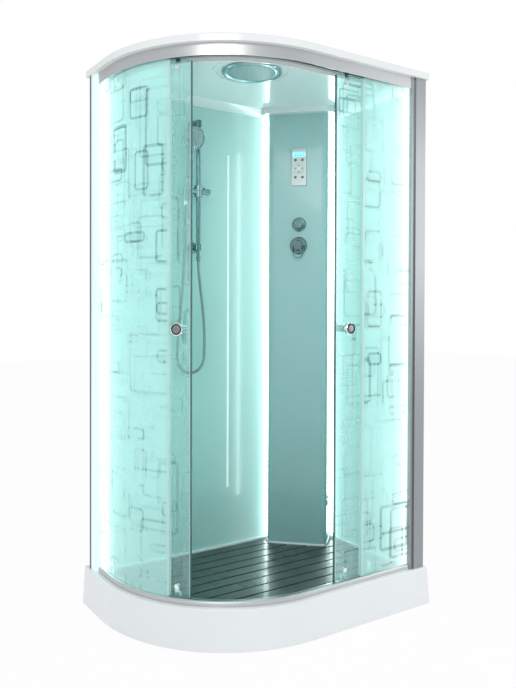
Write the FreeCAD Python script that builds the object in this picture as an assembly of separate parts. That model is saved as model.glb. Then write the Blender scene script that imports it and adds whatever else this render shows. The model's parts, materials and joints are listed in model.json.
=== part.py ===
import FreeCAD, Part
import math
import os

V = FreeCAD.Vector
UP = V(0, 0, 1)

# Millimetres, +Z up. The origin is the middle of the plan, on the floor. +Y points to the long back
# wall, +X to the short side wall. The front left corner of the plan is one large arc.

# ---- overall sizes ----
LENGTH = 1200.0            # along the long back wall
DEPTH = 800.0              # along the short side wall
HEIGHT = 2200.0
CORNER_RADIUS = 590.0      # plan arc of the tray's lower edge

# ---- shower tray ----
RIM_Z = 152.0              # top of the tray's rim, where the bottom rail stands
SKIRT_GAP = 2.0            # the skirt stops this far above the floor
SKIRT_FLARE = 9.0          # the skirt leans out by this much from rim to foot
TRAY_WALL = 5.0
RIM_ROUND = 4.0
BASIN_INSET = 86.0         # from the tray's outline to the edge of the basin
BASIN_DEEP = 57.0          # from the rim down to the basin's floor
BASIN_CORNER = 40.0
LEDGE_DROP = 15.0          # from the rim down to the strip that the wall panels stand on
LEDGE_SHOW = 10.0          # width of that strip in front of a panel

# ---- support frame and feet ----
FRAME_TUBE = 30.0
FRAME_TUBE_WALL = 2.0
FRAME_RAIL_Y = (-150.0, 290.0)
FRAME_CROSS_X = (-300.0, 100.0, 480.0)
FRAME_END_GAP = 30.0
FOOT_PAD_R = 22.0
FOOT_PAD_H = 9.0
FOOT_STUD_R = 6.0
FOOT_NUT_FLATS = 19.0
FOOT_NUT_H = 10.0
FOOT_INSET = 45.0          # from the end of a cross tube to its foot

# ---- waste ----
DRAIN_X = -110.0
DRAIN_Y = 60.0
DRAIN_BORE_R = 40.0
DRAIN_FLANGE_R = 56.0
DRAIN_FLANGE_H = 3.0
TRAP_CUP_R = 39.5
TRAP_CUP_WALL = 3.0
TRAP_CHAMFER = 4.0
TRAP_BOTTOM_Z = 9.0
SPIGOT_R = 20.0
SPIGOT_WALL = 2.5
SPIGOT_Z = 36.0
SPIGOT_END_GAP = 8.0       # the spigot stops this far inside the tray's back edge
SPIGOT_NOTCH = 12.0
SPIGOT_SOCKET = 30.0       # length of the spigot that a waste pipe slides over
SPIGOT_COLLAR_R = 23.0
SPIGOT_COLLAR = 4.0
COVER_R = 52.0
COVER_H = 5.0
COVER_DOME = 2.0
COVER_SKIRT = 8.0
COVER_GAP = 0.4

# ---- slatted floor ----
SLAT_PITCH = 67.0
SLAT_WIDTH = 58.0
SLAT_THICK = 15.0
SLAT_TOP_DROP = 21.0       # from the tray's rim down to the slats
SLAT_EDGE_GAP = 7.0        # between the basin wall and the slats
BATTEN_X = (-410.0, -210.0, -10.0, 190.0, 390.0)
BATTEN_WIDTH = 34.0
BATTEN_END_GAP = 26.0
BATTEN_FOOT_GAP = 0.3

# ---- rails: insets are measured inwards from the tray's outline ----
RAIL_OUT = 30.0
RAIL_IN = 84.0
BOTTOM_RAIL_H = 20.0
BOTTOM_SHELF_H = 8.0
BOTTOM_SHELF_IN = 80.0
RAIL_ROUND = 8.0
RAIL_SKIN = 3.0
TOP_RAIL_H = 44.0
ROOF_EDGE_H = 28.0
TRACK_OUT = 67.5           # outer edge of the shelf that the top wheels run on
TRACK_DROP = 31.0          # from the rail's top to the top of that shelf

# ---- glass ----
GLASS = 5.0
FIXED_GLASS_OUT = 41.5
GLASS_SLOT_GAP = 0.5
DOOR_GLASS_OUT = 57.0
DOOR_FOOT_GAP = 2.8        # between the bottom rail's shelf and the door glass
DOOR_HEAD_GAP = 6.0        # between the door glass and the top rail
FIXED_FOOT_DEPTH = 13.7    # how far the fixed glass goes down into the bottom rail
FIXED_HEAD_DEPTH = 22.0    # how far it goes up into the top rail
LEFT_FIXED_DEG = 33.1      # where the left fixed glass ends, in degrees from the left side
RIGHT_DOORWAY = 276.0      # from the arc's end to the right fixed glass

# ---- sliding doors ----
DOOR_OVERLAP_DEG = 2.1     # the closed left door's lap over the fixed glass
DOOR_OVERLAP = 22.0        # the closed right door's lap over the fixed glass
SEAL_REACH = 8.0           # a door seal stands out from the glass edge by this much
SEAL_LIP = 1.5
HOOK_OUT = 51.0            # inset that the trailing seal's hook reaches out to
MEETING_GAP = 0.3          # half the gap between the closed doors
DOOR_WALL_GAP = 16.3       # between the long wall and the open left door's glass
RIGHT_PARK_GAP = 81.3      # between the right profile's lip and the right door's glass at rest
RIGHT_OPEN_MORE = 45.0     # how much further the right door can open
WIPER_WIDTH = 11.0
WIPER_GAP = 0.4

# ---- door knobs ----
KNOB_Z = 1150.0
KNOB_FROM_EDGE = 39.0
KNOB_GLASS_GAP = 26.0      # between an open door's knob and the fixed glass
KNOB_STEM_R = 17.0
KNOB_NECK_R = 14.5
KNOB_STEM_L = 29.0
KNOB_DISC_R = 23.0
KNOB_DISC_L = 16.0
KNOB_NECK_L = 5.0
KNOB_BOLT_R = 4.0
KNOB_HOLE_R = 6.0
INNER_KNOB_R = 15.0
INNER_KNOB_L = 26.0

# ---- rollers ----
WHEEL_R = 12.0
WHEEL_GROOVE = 1.2
WHEEL_W = 6.0
WHEEL_OUT = 69.0           # inset of the wheel's outer face
AXLE_R = 3.0
AXLE_CLEARANCE = 0.05
AXLE_HEAD_R = 5.0
WHEEL_SIDE_GAP = 0.3
WHEEL_LIFT = 0.3           # the wheels stand this far above their tracks
CARRIER_PLATE = 2.0
CARRIER_HALF_W = 9.0
CARRIER_BOLT_R = 4.0
CARRIER_HOLE_R = 5.0
CARRIER_HEAD_R = 9.0
TOP_CARRIER_DROP = 52.0    # from wheel axle down to the bolt
BOTTOM_CARRIER_RISE = 32.0
LEAD_CARRIER = 50.0        # from the leading glass edge
TRAIL_CARRIER = 110.0      # from the trailing glass edge
STOP_LENGTH = 10.0
STOP_GAP = 2.5
STOP_H = 16.0

# ---- wall profiles ----
PROFILE_INSET = 19.0
PROFILE_DEEP = 36.0
PROFILE_LONG = 55.0
PROFILE_END_INSET = 28.0   # from the tray's back edge to the left profile
PROFILE_SIDE_INSET = 20.0  # from the tray's right edge to the right profile
PROFILE_SKIN = 3.0
LIP_LONG = 17.0
LIP_STEP = 7.0
LIP_THICK = 20.0
PROFILE_FOOT_GAP = 0.3

# ---- wall panels ----
WALL_BACK_INSET = 45.0     # from the tray's back edge to the long wall's inner face
WALL_SIDE_INSET = 35.0     # from the tray's right edge to the side wall's inner face
WALL_THICK = 5.0
WALL_RETURN = 22.0
WALL_HEAD = 47.0           # from the roof's underside down to the panels' top
PANEL_GAP = 0.3

# ---- corner column: local x runs along its face, local y goes into the column ----
FACE_FROM_SIDE = 217.0     # from the side wall to the middle of the column's face
FACE_FROM_BACK = 164.0
FACE_TURN = -45.0
FACE_HALF = 110.0
COLUMN_ROUND = 30.0
COLUMN_WALL = 4.0
COLUMN_FLANGE = 30.0
COLUMN_FOOT_GAP = 2.0      # platform edge in front of the column

# ---- light strips ----
STRIP_WIDTH = 20.0
STRIP_DEEP = 5.0
STRIP_RISE = 13.0          # from the ledge up to the strips
STRIP_TOP_GAP = 6.0
STRIP_WALL_GAP = 2.0
BAR_X = 73.0
BAR_WIDTH = 8.0
BAR_DEEP = 4.0
BAR_BOTTOM_Z = 400.0
BAR_HEAD = 198.0           # from the panel's top down to the bar

# ---- control panel ----
PANEL_U = 8.0              # centre, along the column's face
PANEL_WIDTH = 71.0
PANEL_HEAD = 160.0         # from the column's top down to the control panel
PANEL_HEIGHT = 173.0
PANEL_PLATE = 7.0
PANEL_SKIN = 2.5
PANEL_CORNER = 6.0
DISPLAY_WIDTH = 62.0
DISPLAY_DROP = 14.0        # from the control panel's top
DISPLAY_HEIGHT = 29.0
DISPLAY_THICK = 2.0
BUTTON_R = 6.0
BUTTON_SPREAD = 16.3
BUTTON_DROPS = (54.5, 134.2)
ARROW_DROP = 94.0
ARROW_R = 23.0
BUTTON_GAP = 0.4
BUTTON_PROUD = 2.0
BUTTON_TRAVEL = 1.2
CONTROL_BOX = (120.0, 34.0, 190.0)

# ---- valves ----
DIVERTER_U = 9.0
DIVERTER_DROP = 178.4      # below the control panel
DIVERTER_PLATE_R = 32.5
MIXER_U = 7.0
MIXER_DROP = 97.6          # below the diverter
MIXER_PLATE_R = 40.0
PLATE_THICK = 7.0
DIVERTER_KNOB_R = 23.5
DIVERTER_KNOB_L = 24.0
DIVERTER_FINGERS = 12
MIXER_CAP_R = 25.0
MIXER_CAP_L = 26.0
VALVE_GAP = 0.4
SPINDLE_R = 6.0
SPINDLE_CLEARANCE = 0.05
LEVER_WIRE_R = 3.0
LEVER_LOOP_HALF = 24.0
LEVER_DROP = 56.0
LEVER_PIN_R = 2.5
CAP_FLAT = 18.0            # from the cap's axis to the flats beside the lever
PIN_DEEP = 13.0            # from the cap's axis to the ends of the lever's pins
VALVE_BODY_R = 24.0
VALVE_BODY_L = 46.0
INLET_R = 10.5             # half-inch threaded inlet
INLET_LENGTH = 14.0
INLET_COLLAR_R = 13.0
INLET_COLLAR = 15.0        # from the crossing tube's axis to the collar's face
INLET_SPREAD = 75.0

# ---- riser set ----
RISER_FROM_LEFT = 490.0
RISER_STAND = 50.0         # from the wall to the riser's axis
RISER_R = 10.0
RISER_WALL = 1.5
RISER_HEAD = 89.0          # from the wall panel's top down to the upper bracket
RISER_SPAN = 542.0         # between the brackets
BRACKET_R = 14.0
BRACKET_ROSE_R = 24.0
BRACKET_ROSE_L = 8.0
SLIDER_DROP = 297.0        # from the upper bracket
SLIDER_R = 18.0
SLIDER_H = 50.0
SLIDER_CLEARANCE = 0.08
BARREL_R = 13.0
BARREL_LEFT = 36.0
BARREL_RIGHT = 56.0
SLIDER_BUTTON_R = 5.0
SLIDER_BUTTON_OFF = 29.0   # from the riser's axis
SLIDER_BUTTON_Z = (5.0, 18.0)
SLIDER_BUTTON_TRAVEL = 2.5
HOLDER_OFF = 56.0          # from the riser's axis to the holder's axis
HOLDER_R = 17.0
HOLDER_H = 38.0
HOLDER_SLOT = 15.0
HOLDER_PIN_R = 5.0
HANDLE_LEAN = 14.5
HANDLE_R_LOW = 10.0
HANDLE_R_HIGH = 13.0
HANDLE_FIT = 0.35
HANDLE_BELOW = 45.0        # from the holder's centre down to the hose end
HEAD_ABOVE = 222.0         # from the holder's centre up to the head's centre
HEAD_R = 53.0
HEAD_THICK = 14.0
HEAD_TILT = 12.0
HEAD_NECK = 12.0

# ---- hose: the route's points are counted from the slider's centre, in mm ----
HOSE_R = 6.0
HOSE_NUT_R = 9.0
HOSE_NUT_L = 18.0
HOSE_NUT_GAP = 0.3
OUTLET_GAP = 0.4           # between the outlet under the lower bracket and the hose
HOSE_STEPS = [
    (0.0, 0.0, -287.0),
    (1.0, 0.5, -334.0),
    (11.0, 1.0, -417.0),
    (24.0, 2.0, -507.0),
    (32.5, 3.0, -589.0),
    (35.0, 4.0, -671.0),
    (33.5, 5.0, -755.0),
    (-5.0, 6.0, -798.0),
    (-61.0, 6.5, -797.0),
    (-101.0, 7.0, -756.0),
    (-98.0, 7.0, -669.0),
    (-89.0, 6.5, -573.0),
    (-78.0, 6.0, -467.0),
    (-69.0, 6.5, -351.0),
    (-61.0, 8.5, -239.0),
    (-57.0, 16.0, -149.0),
    (-56.0, 21.73, -84.04),
    (-56.0, 11.34, -43.86),
]

# ---- roof ----
ROOF_INSET = 10.0
ROOF_WALL = 5.0
ROOF_ROUND = 5.0
ROOF_DROP_INSET = 85.0     # lower part of the roof, inside the top rail
CEILING_DROP = 20.0        # from the roof's underside
CEILING_BAND = 8.0         # thickness of the ceiling's lower rim
CEILING_SLOPE = 46.0       # how far the band leans in up to the ceiling
DECK = 8.0
ROOF_RECESS_INSET = 45.0
RAIN_FROM_LEFT = 493.0
RAIN_FROM_FRONT = 283.0
RAIN_R = 118.0
RAIN_RIM = 12.0
RAIN_DROP = 11.0
RAIN_PLATE_R = 98.0
RAIN_PLATE_STEP = 3.0
RAIN_NECK_R = 12.0
CEILING_RING_R = 152.0
CEILING_RING_H = 4.0

# ---- steam and water services behind the column ----
BOILER = (180.0, 110.0, 260.0)
BOILER_DEPTH = 75.0        # from the column's face to the boiler's front
BOILER_ROUND = 16.0
NOZZLE_RISE = 193.0        # from the ledge
NOZZLE_R = 26.0
NOZZLE_BORE_R = 9.0
NOZZLE_BACK = 48.0         # from the face to the nozzle's axis, along the column's side
PIPE_R = 7.0
PIPE_BEND = 24.0
RAIN_PIPE_DEPTH = 88.0     # from the column's face to the pipe that rises to the roof
STEAM_PIPE_U = 50.0        # along the column's face, to the steam pipe
STEAM_PIPE_IN = 40.0       # from the boiler's front to the steam pipe
STEAM_PIPE_RISE = 50.0
HAND_PIPE_RUN = 75.0       # from the diverter to the hand pipe's bend

# ---- sizes worked out from those above ----
LEFT = -LENGTH / 2
RIGHT = LENGTH / 2
FRONT = -DEPTH / 2
BACK = DEPTH / 2
ARC_X = LEFT + CORNER_RADIUS
ARC_Y = FRONT + CORNER_RADIUS
BASIN_FLOOR_Z = RIM_Z - BASIN_DEEP
LEDGE_Z = RIM_Z - LEDGE_DROP
SLAT_TOP_Z = RIM_Z - SLAT_TOP_DROP
STRIP_BOTTOM_Z = LEDGE_Z + STRIP_RISE
NOZZLE_Z = LEDGE_Z + NOZZLE_RISE
WALL_Y = BACK - WALL_BACK_INSET
WALL_X = RIGHT - WALL_SIDE_INSET
FACE_X = WALL_X - FACE_FROM_SIDE
FACE_Y = WALL_Y - FACE_FROM_BACK
ROOF_UNDER_Z = HEIGHT - ROOF_EDGE_H
WALL_TOP_Z = ROOF_UNDER_Z - WALL_HEAD
CEILING_Z = ROOF_UNDER_Z - CEILING_DROP
PANEL_TOP_Z = WALL_TOP_Z - PANEL_HEAD
PANEL_Z = (PANEL_TOP_Z - PANEL_HEIGHT, PANEL_TOP_Z)
DISPLAY_TOP_Z = PANEL_TOP_Z - DISPLAY_DROP
DISPLAY_Z = (DISPLAY_TOP_Z - DISPLAY_HEIGHT, DISPLAY_TOP_Z)
BUTTON_ROW_Z = tuple(PANEL_TOP_Z - drop for drop in BUTTON_DROPS)
ARROW_Z = PANEL_TOP_Z - ARROW_DROP
DIVERTER_Z = PANEL_Z[0] - DIVERTER_DROP
MIXER_Z = DIVERTER_Z - MIXER_DROP
BAR_Z = (BAR_BOTTOM_Z, WALL_TOP_Z - BAR_HEAD)
RISER_TOP_Z = WALL_TOP_Z - RISER_HEAD
RISER_BOTTOM_Z = RISER_TOP_Z - RISER_SPAN
SLIDER_Z = RISER_TOP_Z - SLIDER_DROP
RISER_X = LEFT + RISER_FROM_LEFT
RAIN_X = LEFT + RAIN_FROM_LEFT
RAIN_Y = FRONT + RAIN_FROM_FRONT
TOP_RAIL_Z = ROOF_UNDER_Z - TOP_RAIL_H
TRACK_Z = ROOF_UNDER_Z - TRACK_DROP
BOTTOM_SHELF_Z = RIM_Z + BOTTOM_SHELF_H
DOOR_BOTTOM_Z = BOTTOM_SHELF_Z + DOOR_FOOT_GAP
DOOR_TOP_Z = TOP_RAIL_Z - DOOR_HEAD_GAP
FIXED_BOTTOM_Z = RIM_Z + BOTTOM_RAIL_H - FIXED_FOOT_DEPTH
FIXED_TOP_Z = TOP_RAIL_Z + FIXED_HEAD_DEPTH
DOOR_GLASS_IN = DOOR_GLASS_OUT + GLASS
DOOR_OUT_R = CORNER_RADIUS - DOOR_GLASS_OUT
RIGHT_FIXED_X = ARC_X + RIGHT_DOORWAY
PROFILE_IN = PROFILE_INSET + PROFILE_DEEP
LEFT_PROFILE_END = BACK - PROFILE_END_INSET
LEFT_PROFILE_START = LEFT_PROFILE_END - PROFILE_LONG
LEFT_LIP_START = LEFT_PROFILE_START - LIP_LONG
RIGHT_PROFILE_END = RIGHT - PROFILE_SIDE_INSET
RIGHT_PROFILE_START = RIGHT_PROFILE_END - PROFILE_LONG
RIGHT_LIP_START = RIGHT_PROFILE_START - LIP_LONG
COLUMN_HALF = FACE_HALF + COLUMN_ROUND
JOIN_X = FACE_X + (WALL_Y - FACE_Y) - COLUMN_HALF * math.sqrt(2.0)
JOIN_Y = FACE_Y + (WALL_X - FACE_X) - COLUMN_HALF * math.sqrt(2.0)
RISER_Y = WALL_Y - RISER_STAND
HOLDER_X = RISER_X - HOLDER_OFF
HOSE_ROUTE = [(RISER_X + x, RISER_Y + y, SLIDER_Z + z) for x, y, z in HOSE_STEPS]
LEVER_Y = -(PLATE_THICK + VALVE_GAP + MIXER_CAP_L / 2 + 2)


# ---- drawing helpers ----

def seg(a, b):
    return Part.LineSegment(a, b).toShape()


def arc(a, mid, b):
    return Part.Arc(a, mid, b).toShape()


def polygon_face(points):
    """Flat face inside a closed run of straight lines."""
    return Part.Face(Part.Wire([seg(points[i - 1], points[i]) for i in range(len(points))]))


def box(x0, x1, y0, y1, z0, z1):
    return Part.makeBox(x1 - x0, y1 - y0, z1 - z0, V(x0, y0, z0))


def join(shapes):
    """One solid from pieces that touch or overlap."""
    first = shapes[0]
    for other in shapes[1:]:
        first = first.fuse(other)
    return first.removeSplitter()


def group(solids):
    """Separate solids kept in one node."""
    found = []
    for item in solids:
        found.extend(item.Solids)
    return Part.makeCompound(found)


def turned(points, base, axis, degrees=360.0):
    """Solid of revolution; points are (radius, height) pairs along the axis from base."""
    side = V(1, 0, 0) if abs(axis.x) < 0.9 else V(0, 1, 0)
    across = axis.cross(side)
    across.normalize()
    spots = [base + across * r + axis * h for r, h in points]
    return polygon_face(spots).revolve(base, axis, degrees)


def rod(radius, start, end):
    run = end - start
    return Part.makeCylinder(radius, run.Length, start, run)


def tube(outer, inner, start, end):
    return rod(outer, start, end).cut(rod(inner, start, end))


def rounded_plate(u0, u1, y0, y1, z0, z1, radius):
    """Upright plate with rounded corners, lying between y0 and y1."""
    plate = box(u0, u1, y0, y1, z0, z1)
    edges = [e for e in plate.Edges if abs(e.tangentAt(e.FirstParameter).y) > 0.9]
    return plate.makeFillet(radius, edges)


def upright_edges(shape, spots, reach=1.0):
    """The vertical edges that stand at the given plan points."""
    found = []
    for edge in shape.Edges:
        if abs(edge.tangentAt(edge.FirstParameter).z) < 0.99:
            continue
        middle = edge.CenterOfMass
        if any(math.hypot(middle.x - x, middle.y - y) < reach for x, y in spots):
            found.append(edge)
    return found


def polar(radius, degrees, z=0.0):
    """Point on the corner arc; degrees run from the left side round to the front."""
    a = math.radians(degrees)
    return V(ARC_X - radius * math.cos(a), ARC_Y - radius * math.sin(a), z)


def outward(degrees):
    a = math.radians(degrees)
    return V(-math.cos(a), -math.sin(a), 0)


def plan_wire(inset, z, right, back):
    """The cabin's outline, moved inwards by inset on its left and front sides."""
    radius = CORNER_RADIUS - inset
    side = V(LEFT + inset, ARC_Y, z)
    front = V(ARC_X, FRONT + inset, z)
    back_left = V(LEFT + inset, back, z)
    front_right = V(right, FRONT + inset, z)
    back_right = V(right, back, z)
    return Part.Wire([
        seg(back_left, side),
        arc(side, polar(radius, 45, z), front),
        seg(front, front_right),
        seg(front_right, back_right),
        seg(back_right, back_left),
    ])


def plan_prism(inset, z0, z1, right, back):
    return Part.Face(plan_wire(inset, z0, right, back)).extrude(V(0, 0, z1 - z0))


def plan_loft(inset0, z0, inset1, z1, right0, back0, right1, back1):
    return Part.makeLoft([plan_wire(inset0, z0, right0, back0), plan_wire(inset1, z1, right1, back1)],
                         True, True)


def section(points):
    """Face in the upright plane at the arc's left end, from (inset, z) pairs."""
    return polygon_face([V(LEFT + inset, ARC_Y, z) for inset, z in points])


def along_plan(face, back_y, front_x):
    """Carries a section from the left side's back end, round the corner, to the front's right end."""
    centre = V(ARC_X, ARC_Y, 0)
    side = face.extrude(V(0, back_y - ARC_Y, 0))
    corner = face.revolve(centre, UP, 90)
    ahead = face.copy()
    ahead.rotate(centre, UP, 90)
    front = ahead.extrude(V(front_x - ARC_X, 0, 0))
    return join([side, corner, front])


def round_arc(face, start, end):
    """Carries a section round the corner arc, from start to end degrees."""
    centre = V(ARC_X, ARC_Y, 0)
    begin = face.copy()
    begin.rotate(centre, UP, start)
    return begin.revolve(centre, UP, end - start)


def band(inset0, inset1, z0, z1):
    return section([(inset0, z0), (inset1, z0), (inset1, z1), (inset0, z1)])


def on_column(shape):
    """Puts a shape drawn in the column's own axes in its place."""
    shape.rotate(V(0, 0, 0), UP, FACE_TURN)
    shape.translate(V(FACE_X, FACE_Y, 0))
    return shape


def column_spot(u, depth, z):
    """Plan point at u along the column's face and depth behind it."""
    a = math.radians(FACE_TURN)
    x = FACE_X + u * math.cos(a) - depth * math.sin(a)
    y = FACE_Y + u * math.sin(a) + depth * math.cos(a)
    return (x, y, z)


def column_prism(grow, z0, z1, depth):
    """Upright block with the column's plan, larger by grow on every side."""
    half = COLUMN_HALF + grow
    radius = COLUMN_ROUND + grow
    mid = radius * math.sqrt(0.5)
    front = -grow
    left_mid = V(-FACE_HALF - mid, COLUMN_ROUND - mid, z0)
    right_mid = V(FACE_HALF + mid, COLUMN_ROUND - mid, z0)
    outline = Part.Wire([
        seg(V(-half, depth, z0), V(-half, COLUMN_ROUND, z0)),
        arc(V(-half, COLUMN_ROUND, z0), left_mid, V(-FACE_HALF, front, z0)),
        seg(V(-FACE_HALF, front, z0), V(FACE_HALF, front, z0)),
        arc(V(FACE_HALF, front, z0), right_mid, V(half, COLUMN_ROUND, z0)),
        seg(V(half, COLUMN_ROUND, z0), V(half, depth, z0)),
        seg(V(half, depth, z0), V(-half, depth, z0)),
    ])
    return on_column(Part.Face(outline).extrude(V(0, 0, z1 - z0)))


# ---- shower tray ----

COLUMN_REACH = 420.0       # depth that takes the column's plan past the tray's corner


def basin_block(shrink, z0, z1):
    """The basin's space with its corner cut round the column's foot; shrink moves its walls in."""
    back = WALL_Y - LEDGE_SHOW - shrink
    right = WALL_X - LEDGE_SHOW - shrink
    inset = BASIN_INSET + shrink
    block = plan_prism(inset, z0, z1, right, back)
    spots = [(LEFT + inset, back), (right, FRONT + inset)]
    block = block.makeFillet(BASIN_CORNER, upright_edges(block, spots))
    return block.cut(column_prism(COLUMN_FOOT_GAP + shrink, z0 - 1, z1 + 1, COLUMN_REACH))


def ledge_blocks(grow, z0, z1):
    """Space above the lowered strips that carry the two wall panels and the column."""
    back = box(LEFT + PROFILE_IN - grow, RIGHT + 1, WALL_Y - LEDGE_SHOW - grow, BACK + 1, z0, z1)
    side = box(WALL_X - LEDGE_SHOW - grow, RIGHT + 1, FRONT + PROFILE_IN - grow, BACK + 1, z0, z1)
    return [back, side, column_prism(COLUMN_FOOT_GAP + grow, z0, z1, COLUMN_REACH)]


def shower_tray():
    flare = SKIRT_FLARE
    wall = TRAY_WALL
    body = plan_loft(0, SKIRT_GAP, flare, RIM_Z, RIGHT, BACK, RIGHT - flare, BACK)
    rim = [e for e in body.Edges
           if abs(e.BoundBox.ZMin - RIM_Z) < 0.01 and abs(e.BoundBox.ZMax - RIM_Z) < 0.01
           and e.BoundBox.YMin < BACK - 1]
    body = body.makeFillet(RIM_ROUND, rim)
    hollow = plan_loft(wall, SKIRT_GAP - 1, flare + wall, RIM_Z - wall,
                       RIGHT - wall, BACK - wall, RIGHT - flare - wall, BACK - wall)
    tank = basin_block(-wall, BASIN_FLOOR_Z - wall, RIM_Z)
    hollow = hollow.cut(tank)
    for block in ledge_blocks(wall, LEDGE_Z - wall, RIM_Z):
        hollow = hollow.cut(block)
    body = body.cut(hollow)
    for block in ledge_blocks(0, LEDGE_Z, RIM_Z + 1):
        body = body.cut(block)
    body = body.cut(basin_block(0, BASIN_FLOOR_Z, RIM_Z + 1))
    drain = V(DRAIN_X, DRAIN_Y, BASIN_FLOOR_Z - wall - 1)
    body = body.cut(rod(DRAIN_BORE_R, drain, drain + V(0, 0, wall + 2)))
    notch_r = SPIGOT_R + SPIGOT_NOTCH
    notch = rod(notch_r, V(DRAIN_X, BACK - wall - 1, SPIGOT_Z), V(DRAIN_X, BACK + 1, SPIGOT_Z))
    slot = box(DRAIN_X - notch_r, DRAIN_X + notch_r, BACK - wall - 1, BACK + 1, 0, SPIGOT_Z)
    return body.cut(notch).cut(slot)


# ---- support frame, feet ----

FRAME_TOP_Z = BASIN_FLOOR_Z - TRAY_WALL
FRAME_BOTTOM_Z = FRAME_TOP_Z - FRAME_TUBE


def arc_front_y(inset, x):
    """Where the outline, moved in by inset, crosses a given x on the front side."""
    if x >= ARC_X:
        return FRONT + inset
    return ARC_Y - math.sqrt((CORNER_RADIUS - inset) ** 2 - (ARC_X - x) ** 2)


def arc_left_x(inset, y):
    if y >= ARC_Y:
        return LEFT + inset
    return ARC_X - math.sqrt((CORNER_RADIUS - inset) ** 2 - (ARC_Y - y) ** 2)


def cross_tube_ends(x):
    reach = FRAME_END_GAP + TRAY_WALL
    front = max(arc_front_y(reach, x - FRAME_TUBE / 2), arc_front_y(reach, x + FRAME_TUBE / 2))
    return front, BACK - reach


def support_frame():
    half = FRAME_TUBE / 2
    wall = FRAME_TUBE_WALL
    outer = []
    inner = []
    for y in FRAME_RAIL_Y:
        reach = FRAME_END_GAP + TRAY_WALL
        x0 = max(arc_left_x(reach, y - half), arc_left_x(reach, y + half))
        x1 = RIGHT - reach
        outer.append(box(x0, x1, y - half, y + half, FRAME_BOTTOM_Z, FRAME_TOP_Z))
        inner.append(box(x0 - 1, x1 + 1, y - half + wall, y + half - wall,
                         FRAME_BOTTOM_Z + wall, FRAME_TOP_Z - wall))
    for x in FRAME_CROSS_X:
        y0, y1 = cross_tube_ends(x)
        outer.append(box(x - half, x + half, y0, y1, FRAME_BOTTOM_Z, FRAME_TOP_Z))
        inner.append(box(x - half + wall, x + half - wall, y0 - 1, y1 + 1,
                         FRAME_BOTTOM_Z + wall, FRAME_TOP_Z - wall))
    frame = join(outer)
    for space in inner:
        frame = frame.cut(space)
    return frame


def levelling_feet():
    """Rubber pad, threaded stud and lock nut, one set at each end of the cross tubes."""
    solids = []
    nut_top = FRAME_BOTTOM_Z
    nut_r = FOOT_NUT_FLATS / math.sqrt(3.0)
    for x in FRAME_CROSS_X:
        y0, y1 = cross_tube_ends(x)
        for y in (y0 + FOOT_INSET, y1 - FOOT_INSET):
            base = V(x, y, 0)
            pad = turned([(0, 0), (FOOT_PAD_R, 0), (FOOT_PAD_R, FOOT_PAD_H * 0.5),
                          (FOOT_PAD_R * 0.6, FOOT_PAD_H), (0, FOOT_PAD_H)], base, UP)
            corners = [V(x + nut_r * math.cos(math.radians(60 * i)),
                         y + nut_r * math.sin(math.radians(60 * i)), nut_top - FOOT_NUT_H)
                       for i in range(6)]
            nut = polygon_face(corners).extrude(V(0, 0, FOOT_NUT_H))
            stud = rod(FOOT_STUD_R, V(x, y, FOOT_PAD_H), V(x, y, nut_top))
            solids += [pad, join([nut, stud])]
    return group(solids)


# ---- waste trap and cover ----

def waste_trap():
    top = BASIN_FLOOR_Z + DRAIN_FLANGE_H
    wall = TRAP_CUP_WALL
    r = TRAP_CUP_R
    base = V(DRAIN_X, DRAIN_Y, 0)
    cup = turned([(0, TRAP_BOTTOM_Z), (r - TRAP_CHAMFER, TRAP_BOTTOM_Z), (r, TRAP_BOTTOM_Z + TRAP_CHAMFER),
                  (r, BASIN_FLOOR_Z),
                  (DRAIN_FLANGE_R, BASIN_FLOOR_Z), (DRAIN_FLANGE_R - 2, top), (0, top)], base, UP)
    spigot_end = V(DRAIN_X, BACK - SPIGOT_END_GAP, SPIGOT_Z)
    spigot = rod(SPIGOT_R, V(DRAIN_X, DRAIN_Y, SPIGOT_Z), spigot_end)
    collar_end = spigot_end - V(0, SPIGOT_SOCKET, 0)
    collar = rod(SPIGOT_COLLAR_R, collar_end - V(0, SPIGOT_COLLAR, 0), collar_end)
    nut = rod(DRAIN_BORE_R + 8, V(DRAIN_X, DRAIN_Y, BASIN_FLOOR_Z - TRAY_WALL - 12),
              V(DRAIN_X, DRAIN_Y, BASIN_FLOOR_Z - TRAY_WALL))
    body = join([cup, spigot, collar, nut])
    bore = rod(r - wall, V(DRAIN_X, DRAIN_Y, TRAP_BOTTOM_Z + wall), V(DRAIN_X, DRAIN_Y, top + 1))
    outlet = rod(SPIGOT_R - SPIGOT_WALL, V(DRAIN_X, DRAIN_Y, SPIGOT_Z), spigot_end + V(0, 1, 0))
    return body.cut(bore).cut(outlet)


def drain_cover():
    """Domed strainer that drops into the trap."""
    z = BASIN_FLOOR_Z + DRAIN_FLANGE_H + COVER_GAP
    throat = TRAP_CUP_R - TRAP_CUP_WALL - COVER_GAP
    base = V(DRAIN_X, DRAIN_Y, z)
    dome = turned([(0, 0), (throat - 3, 0), (throat - 3, -COVER_SKIRT), (throat, -COVER_SKIRT), (throat, 0),
                   (COVER_R, 0), (COVER_R, COVER_H * 0.4), (COVER_R * 0.8, COVER_H),
                   (0, COVER_H + COVER_DOME)],
                  base, UP)
    slots = []
    for i in range(6):
        a = math.radians(60 * i)
        middle = base + V(math.cos(a), math.sin(a), 0) * (throat - 14)
        slots.append(rod(5, middle - V(0, 0, 2), middle + V(0, 0, COVER_H + COVER_DOME + 2)))
    for slot in slots:
        dome = dome.cut(slot)
    return dome


# ---- slatted floor ----

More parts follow.
